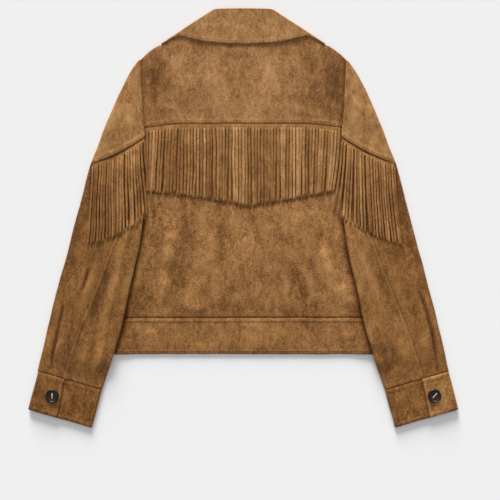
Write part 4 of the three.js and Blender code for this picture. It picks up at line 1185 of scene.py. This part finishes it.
TREE2 = tree_of(ALL)
lines = [away(YOKE_SEAM, 0, 400, 6.3), away([(x, BAND_Y) for x in np.linspace(-214, 214, 40)], 0, -400, 4.9),
         offset([(x, HEM_Y) for x in np.linspace(-216, 216, 40)], 5.6)]
for sg in (1, -1):
    m = (lambda p: p) if sg > 0 else mirror_pts
    lines += [away(m(HEAD_PTS), sg * 200, 400, 5.7), away(m(ARM_R)[13:], sg * 400, 200, 4.9)]
    lines += [away(m([p for p in SEAM_PTS if p[1] < -20]), sg * 500, 0, 4.5)]
    cin, cout, hin, hout = (np.array([sg * p[0], p[1]]) for p in (CUFF_IN, CUFF_OUT, HEMC_IN, HEMC_OUT))
    for (a, b, k) in ((cin, cout, 0.06), (hin, hout, -0.06)):
        o = (hin - cin) * 0.088 if k > 0 else (cin - hin) * 0.088
        lines.append([tuple(a + o + (b - a) * t) for t in np.linspace(0.04, 0.96, 20)])
    s0, s1 = cin + (cout - cin) * SPLIT_TOP, hin + (hout - hin) * SPLIT_BOTTOM
    lines.append([tuple(s0 + (s1 - s0) * t + (cout - cin) / 113 * 5.0) for t in np.linspace(0.06, 0.94, 12)])
edge_c = [(r[1], r[2]) for r in smooth_rows(COLLAR, 40)[:-7]]
edge_full = [(-x, y) for x, y in edge_c[::-1]][:-1] + edge_c
lines.append(away(edge_full, 0, 500, 5.6))
thread = stitches("stitching", lines, TREE2)


# ------------------------------------------------------------------ buttons
def lathe(profile, seg):
    V, F = [], []
    n = len(profile)
    for k in range(seg):
        a = 2 * math.pi * k / seg
        for r, z in profile:
            V.append([r * math.cos(a), r * math.sin(a), z])
    bot, top = len(V), len(V) + 1
    V += [[0, 0, profile[0][1]], [0, 0, profile[-1][1]]]
    for k in range(seg):
        k2 = (k + 1) % seg
        for i in range(n - 1):
            F.append([k * n + i, k2 * n + i, k2 * n + i + 1, k * n + i + 1])
        F.append([bot, k2 * n, k * n])
        F.append([top, k * n + n - 1, k2 * n + n - 1])
    return V, F


def raw(name, V, F):
    me = bpy.data.meshes.new(name)
    me.from_pydata([[c * 0.001 for c in v] for v in V], [], F)
    ob = bpy.data.objects.new(name, me)
    SCENE.collection.objects.link(ob)
    return ob


R, TH = BUTTON["dia"] / 2, BUTTON["thick"]
prof = [(R - 2.6, 0.0), (R - 1.2, 0.25), (R - 0.35, 0.9), (R, 1.7), (R - 0.2, 2.5), (R - 0.8, 3.1), (R - 1.6, TH), (R - 2.3, 3.25), (R - 2.9, 2.8), (R - 3.5, 2.45),
        (R - 5.0, 2.25), (R - 8.0, 2.15)]
for tag, sg, turn_deg in (("right", 1, 2.0), ("left", -1, 44.0)):
    V, F = lathe(prof, 64)
    disc = raw(f"button_{tag}_disc", V, F)
    HV, HF = [], []
    for hx in (1, -1):
        for hy in (1, -1):
            base = len(HV)
            for z in (-1.0, 5.0):
                for k in range(20):
                    a = 2 * math.pi * k / 20
                    HV.append([hx * 2.7 + 1.05 * math.cos(a), hy * 2.7 + 1.05 * math.sin(a), z])
            for k in range(20):
                k2 = (k + 1) % 20
                HF.append([base + k, base + k2, base + 20 + k2, base + 20 + k])
            HF.append([base + k for k in range(20)][::-1])
            HF.append([base + 20 + k for k in range(20)])
    cut = raw(f"button_{tag}_cut", HV, HF)
    mod = disc.modifiers.new("holes", "BOOLEAN")
    mod.operation, mod.object, mod.solver = "DIFFERENCE", cut, "EXACT"
    dg = bpy.context.evaluated_depsgraph_get()
    me = bpy.data.meshes.new_from_object(disc.evaluated_get(dg))
    bpy.data.objects.remove(disc)
    bpy.data.objects.remove(cut)
    co = np.empty(len(me.vertices) * 3)
    me.vertices.foreach_get("co", co)
    co = co.reshape(-1, 3) * 1000
    a = math.radians(turn_deg)
    rot = np.array([[math.cos(a), -math.sin(a)], [math.sin(a), math.cos(a)]])
    co[:, :2] = co[:, :2] @ rot.T
    z0, _ = drop(TREE2, sg * BUTTON["x"], BUTTON["y"])
    zb = max(z0 + 0.45, TAB + 0.5)
    co += np.array([sg * BUTTON["x"], BUTTON["y"], zb])
    ob = to_object(f"button_{tag}_disc", co, [list(p.vertices) for p in me.polygons], [f"button_{tag}"], None, smooth=False)
    # thread: four turns side by side through two opposite holes, run on past the holes: the long pale line is partly
    # thread and partly a painted glint on the button
    TV, TF = [], []
    for k in (-1.5, -0.5, 0.5, 1.5):
        base = len(TV)
        for t in np.linspace(0, 1, 13):
            u, arch = -5.0 + (10.4 if sg < 0 else 12.0) * t, math.sin(math.pi * t)
            cx, cy = (u - k * 0.42) * 0.7071, (u + k * 0.42) * 0.7071
            cz = 2.35 + 0.55 * arch ** 0.5 - 2.2 * (1 - step(min(t, 1 - t) / 0.09)) + 0.12 * (1.5 - abs(k))
            for q in range(6):
                b = math.radians(60 * q)
                TV.append([cx - 0.7071 * 0.3 * math.cos(b), cy + 0.7071 * 0.3 * math.cos(b), cz + 0.3 * math.sin(b)])
        for i in range(12):
            for q in range(6):
                TF.append([base + i * 6 + q, base + i * 6 + (q + 1) % 6, base + (i + 1) * 6 + (q + 1) % 6, base + (i + 1) * 6 + q])
        TF.append([base + q for q in range(6)][::-1])
        TF.append([base + 72 + q for q in range(6)])
    TV = np.array(TV)
    TV[:, :2] = TV[:, :2] @ rot.T
    TV += np.array([sg * BUTTON["x"], BUTTON["y"], zb])
    to_object(f"button_{tag}_thread", TV, TF, [], None)


# ------------------------------------------------------------------ materials
def srgb(r, g, b):
    f = lambda c: c / 12.92 if c <= 0.04045 else ((c + 0.055) / 1.055) ** 2.4
    return (f(r / 255), f(g / 255), f(b / 255), 1.0)


def suede(name, offset_m, stops, turn=0.0, contrast=2.75, bump=1.0, nap=1.0):
    """Napped hide: clouds of brushed nap over several sizes, fine grain and short hair lines, from the object's own coordinates."""
    mat = bpy.data.materials.new(name)
    mat.use_nodes = True
    nt = mat.node_tree
    nt.nodes.clear()
    N = nt.nodes.new
    L = nt.links.new
    out, bsdf = N("ShaderNodeOutputMaterial"), N("ShaderNodeBsdfPrincipled")
    L(bsdf.outputs["BSDF"], out.inputs["Surface"])
    tc, mp = N("ShaderNodeTexCoord"), N("ShaderNodeMapping")
    mp.inputs["Location"].default_value = offset_m
    L(tc.outputs["Object"], mp.inputs["Vector"])

    def noise(scale, detail, rough, dist=0.0, vec=None):
        n = N("ShaderNodeTexNoise")
        n.inputs["Scale"].default_value, n.inputs["Detail"].default_value = scale, detail
        n.inputs["Roughness"].default_value, n.inputs["Distortion"].default_value = rough, dist
        L((vec or mp).outputs["Vector"], n.inputs["Vector"])
        return n.outputs["Fac"]

    def math_node(op, a, b):
        m = N("ShaderNodeMath")
        m.operation = op
        for i, v in enumerate((a, b)):
            if isinstance(v, (int, float)):
                m.inputs[i].default_value = v
            else:
                L(v, m.inputs[i])
        return m.outputs[0]
    stretch = N("ShaderNodeMapping")
    stretch.inputs["Scale"].default_value = (1.0, 0.42, 1.0)
    stretch.inputs["Rotation"].default_value = (0, 0, turn + 0.12)
    L(mp.outputs["Vector"], stretch.inputs["Vector"])
    brush = N("ShaderNodeMapping")
    brush.inputs["Scale"].default_value = (1.0, 0.62, 1.0)
    brush.inputs["Rotation"].default_value = (0, 0, turn)
    L(mp.outputs["Vector"], brush.inputs["Vector"])
    clouds = noise(30, 5, 0.62, 0.8, brush)
    mottle = noise(110, 5, 0.7, 1.2, brush)
    comb = N("ShaderNodeMapping")
    comb.inputs["Scale"].default_value = (1.0, 0.28, 1.0)
    comb.inputs["Rotation"].default_value = (0, 0, turn)
    L(mp.outputs["Vector"], comb.inputs["Vector"])
    streak = noise(95, 5, 0.7, 0.7, comb)
    grain = noise(520, 3, 0.75, 0.3)
    hair = noise(1500, 2, 0.6, 0.0, stretch)
    v = math_node("MULTIPLY", clouds, 0.20)
    v = math_node("ADD", v, math_node("MULTIPLY", mottle, 0.27))
    v = math_node("ADD", v, math_node("MULTIPLY", streak, 0.13))
    v = math_node("ADD", v, math_node("MULTIPLY", grain, 0.26 * nap))
    v = math_node("ADD", v, math_node("MULTIPLY", hair, 0.14 * nap))
    v = math_node("ADD", math_node("MULTIPLY", math_node("SUBTRACT", v, 0.30 + 0.20 * nap), contrast), 0.5)
    # the per-vertex attribute moves the colour ramp: lighter and darker areas of nap, painted light on crease crests
    # and painted shade in their troughs
    nap_and_fold_shade = N("ShaderNodeAttribute")
    nap_and_fold_shade.attribute_name = "nap_and_fold_shade"
    v = math_node("ADD", v, math_node("MULTIPLY", nap_and_fold_shade.outputs["Fac"], 0.86))
    ramp = N("ShaderNodeValToRGB")
    el = ramp.color_ramp.elements
    el[0].position, el[0].color = 0.12, stops[0]
    el[1].position, el[1].color = 0.76, stops[5]
    for pos, c in ((0.25, stops[1]), (0.37, stops[2]), (0.5, stops[3]), (0.63, stops[4])):
        el.new(pos).color = c
    L(v, ramp.inputs["Fac"])
    att = N("ShaderNodeAttribute")
    att.attribute_name = "tone"
    mix = N("ShaderNodeMix")
    mix.data_type, mix.blend_type = "RGBA", "MULTIPLY"
    mix.inputs[0].default_value = 1.0
    L(ramp.outputs["Color"], mix.inputs[6])
    L(att.outputs["Color"], mix.inputs[7])
    L(mix.outputs[2], bsdf.inputs["Base Color"])
    bsdf.inputs["Roughness"].default_value = 0.92
    bsdf.inputs["Specular IOR Level"].default_value = 0.1
    bsdf.inputs["Sheen Weight"].default_value = 0.14
    bsdf.inputs["Sheen Roughness"].default_value = 0.55
    bsdf.inputs["Sheen Tint"].default_value = (1.0, 0.86, 0.70, 1.0)
    h = math_node("ADD", math_node("MULTIPLY", mottle, 0.7), math_node("MULTIPLY", grain, 0.7))
    h = math_node("ADD", h, math_node("MULTIPLY", hair, 0.35))
    bp = N("ShaderNodeBump")
    bp.inputs["Strength"].default_value = 0.55 * bump
    bp.inputs["Distance"].default_value = 0.0006
    L(h, bp.inputs["Height"])
    L(bp.outputs["Normal"], bsdf.inputs["Normal"])
    return mat


def suede_set(name, off, c, spread=0.14, turn=0.0, contrast=2.75, bump=1.0, nap=1.0):
    r, g, b = c
    stops = []
    for k in (-2.9, -2.15, -1.05, 0.0, 1.0, 1.7):
        f = 1 + k * spread
        stops.append(srgb(r * f, g * f ** 1.27, b * f ** 1.8))
    return suede(name, off, stops, turn, contrast, bump, nap)


MATS = {
    "yoke": suede_set("hide_yoke", (0.3, 0.1, 0.0), (147, 104, 62), contrast=2.85, nap=1.25),
    "body": suede_set("hide_body", (1.3, 0.4, 0.2), (145, 102, 59), contrast=3.0, nap=1.6),
    "light": suede_set("hide_light", (2.1, 0.9, 0.1), (151, 109, 65), contrast=2.4),
    "sleeve_right": suede_set("hide_sleeve_right", (3.4, 0.2, 0.6), (138, 96, 53), turn=0.22, contrast=2.9, nap=1.5),
    "sleeve_left": suede_set("hide_sleeve_left", (3.9, 1.2, 0.5), (135, 94, 51), turn=-0.22, contrast=2.9, nap=1.5),
    "cuff": suede_set("hide_cuff", (4.2, 0.7, 0.3), (139, 97, 52), contrast=3.6, nap=1.25),
    "fringe": suede_set("hide_fringe", (5.7, 0.5, 0.9), (152, 109, 64), contrast=2.2),
}
ASSIGN = {"back_panel_hide": "body", "back_yoke_hide": "yoke", "hem_band_hide": "body", "collar_hide": "light", "fringe_back_strands": "fringe", "fringe_back_header": "fringe"}
for tag in ("right", "left"):
    ASSIGN.update({f"front_{tag}_hide": "body", f"sleeve_under_{tag}_hide": f"sleeve_{tag}", f"sleeve_upper_{tag}_hide": f"sleeve_{tag}", f"sleeve_yoke_{tag}_hide": "light",
                   f"cuff_{tag}_hide": "cuff", f"fringe_sleeve_{tag}_strands": "fringe", f"fringe_sleeve_{tag}_header": "fringe"})
for n, k in ASSIGN.items():
    PIECES[n].data.materials.append(MATS[k])


def thread_mat(name, c, rough):
    mat = bpy.data.materials.new(name)
    mat.use_nodes = True
    nt = mat.node_tree
    b = nt.nodes["Principled BSDF"]
    tc, wv, rp = nt.nodes.new("ShaderNodeTexCoord"), nt.nodes.new("ShaderNodeTexNoise"), nt.nodes.new("ShaderNodeValToRGB")
    wv.inputs["Scale"].default_value = 2200
    nt.links.new(tc.outputs["Object"], wv.inputs["Vector"])
    rp.color_ramp.elements[0].position, rp.color_ramp.elements[0].color = 0.3, srgb(*[v * 0.82 for v in c])
    rp.color_ramp.elements[1].position, rp.color_ramp.elements[1].color = 0.7, srgb(*[min(255, v * 1.1) for v in c])
    nt.links.new(wv.outputs["Fac"], rp.inputs["Fac"])
    nt.links.new(rp.outputs["Color"], b.inputs["Base Color"])
    bp = nt.nodes.new("ShaderNodeBump")
    bp.inputs["Distance"].default_value = 0.0001
    nt.links.new(wv.outputs["Fac"], bp.inputs["Height"])
    nt.links.new(bp.outputs["Normal"], b.inputs["Normal"])
    b.inputs["Roughness"].default_value = rough
    b.inputs["Sheen Weight"].default_value = 0.3
    return mat


PIECES["stitching"].data.materials.append(thread_mat("thread_tan", (150, 110, 68), 0.8))
pale = thread_mat("thread_pale", (190, 178, 156), 0.6)
horn = bpy.data.materials.new("button_horn")
horn.use_nodes = True
nt = horn.node_tree
b = nt.nodes["Principled BSDF"]
tc, nz, rp = nt.nodes.new("ShaderNodeTexCoord"), nt.nodes.new("ShaderNodeTexNoise"), nt.nodes.new("ShaderNodeValToRGB")
nz.inputs["Scale"].default_value, nz.inputs["Detail"].default_value, nz.inputs["Distortion"].default_value = 170, 4, 2.5
nt.links.new(tc.outputs["Object"], nz.inputs["Vector"])
rp.color_ramp.elements[0].position, rp.color_ramp.elements[0].color = 0.35, srgb(27, 18, 10)
rp.color_ramp.elements[1].position, rp.color_ramp.elements[1].color = 0.72, srgb(48, 34, 20)
nt.links.new(nz.outputs["Fac"], rp.inputs["Fac"])
nt.links.new(rp.outputs["Color"], b.inputs["Base Color"])
b.inputs["Roughness"].default_value = 0.34
b.inputs["Specular IOR Level"].default_value = 0.22
for tag in ("right", "left"):
    PIECES[f"button_{tag}_disc"].data.materials.append(horn)
    PIECES[f"button_{tag}_thread"].data.materials.append(pale)

# ------------------------------------------------------------------ floor, world and light
fm = bpy.data.meshes.new("floor")
fm.from_pydata([(-40, -40, -0.0003), (40, -40, -0.0003), (40, 40, -0.0003), (-40, 40, -0.0003)], [], [[0, 1, 2, 3]])
floor = bpy.data.objects.new("floor", fm)
SCENE.collection.objects.link(floor)
fmat = bpy.data.materials.new("floor_pale")
fmat.use_nodes = True
fb_ = fmat.node_tree.nodes["Principled BSDF"]
fb_.inputs["Base Color"].default_value = (0.808, 0.808, 0.808, 1)
fb_.inputs["Roughness"].default_value = 1.0
fb_.inputs["Specular IOR Level"].default_value = 0.0
fm.materials.append(fmat)

world = bpy.data.worlds.new("studio")
SCENE.world = world
world.use_nodes = True
bg = world.node_tree.nodes["Background"]
bg.inputs["Color"].default_value = (1.0, 1.0, 1.0, 1.0)
bg.inputs["Strength"].default_value = 0.42


def sun(name, az, el, strength, angle, colour=(1, 1, 1)):
    """Sun-like lamp from azimuth az (0 is +Y, 90 is +X) and elevation el."""
    ld = bpy.data.lights.new(name, "SUN")
    ld.energy, ld.angle, ld.color = strength, math.radians(angle), colour
    ob = bpy.data.objects.new(name, ld)
    SCENE.collection.objects.link(ob)
    a, e = math.radians(az), math.radians(el)
    d = Vector((-math.sin(a) * math.cos(e), -math.cos(a) * math.cos(e), -math.sin(e)))
    ob.rotation_euler = d.to_track_quat("-Z", "Y").to_euler()
    return ob


sun("key", -8, 17, 5.6, 26)
sun("fill_top", 0, 75, 0.46, 40)

# ------------------------------------------------------------------ no edge of cut hide is quite straight: one slight warp shared by all pieces
for ob in PIECES.values():
    me = ob.data
    co = np.empty(len(me.vertices) * 3)
    me.vertices.foreach_get("co", co)
    co = co.reshape(-1, 3)
    x, y = co[:, 0] * 1000, co[:, 1] * 1000
    hold = step((366.5 - np.abs(x)) / 14) * step((357 - np.abs(y)) / 14)
    dx = 0.6 * noise2(x, y, 80, 81) + 0.12 * noise2(x, y, 24, 82)
    dy = 0.6 * noise2(x, y, 80, 83) + 0.12 * noise2(x, y, 24, 84)
    co[:, 0] += dx * hold * 0.001
    co[:, 1] += dy * hold * 0.001
    me.vertices.foreach_set("co", co.ravel())
    me.update()

# ------------------------------------------------------------------ sheet sizes of each piece, passed to lay, which does nothing with them
def lay(name, w, l, rests, extra=(), area=None):
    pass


lay("back_panel_hide", 0.455, 0.335, ["front_right_hide", "front_left_hide"])
lay("back_yoke_hide", 0.352, 0.178, ["front_right_hide", "front_left_hide"])
lay("front_right_hide", 0.232, 0.502, ["collar_hide"])
lay("front_left_hide", 0.232, 0.502, ["collar_hide"])
lay("hem_band_hide", 0.965, 0.061, ["front_right_hide"])
lay("collar_hide", 0.52, 0.115, ["back_yoke_hide"])
for tag in ("right", "left"):
    lay(f"sleeve_under_{tag}_hide", 0.135, 0.41, [f"sleeve_upper_{tag}_hide"])
    lay(f"sleeve_upper_{tag}_hide", 0.30, 0.44, ["back_panel_hide"])
    lay(f"sleeve_yoke_{tag}_hide", 0.20, 0.19, [f"sleeve_upper_{tag}_hide"])
    lay(f"cuff_{tag}_hide", 0.262, 0.068, [f"sleeve_upper_{tag}_hide"])
    ob, area, hd = fringe_info[tag]
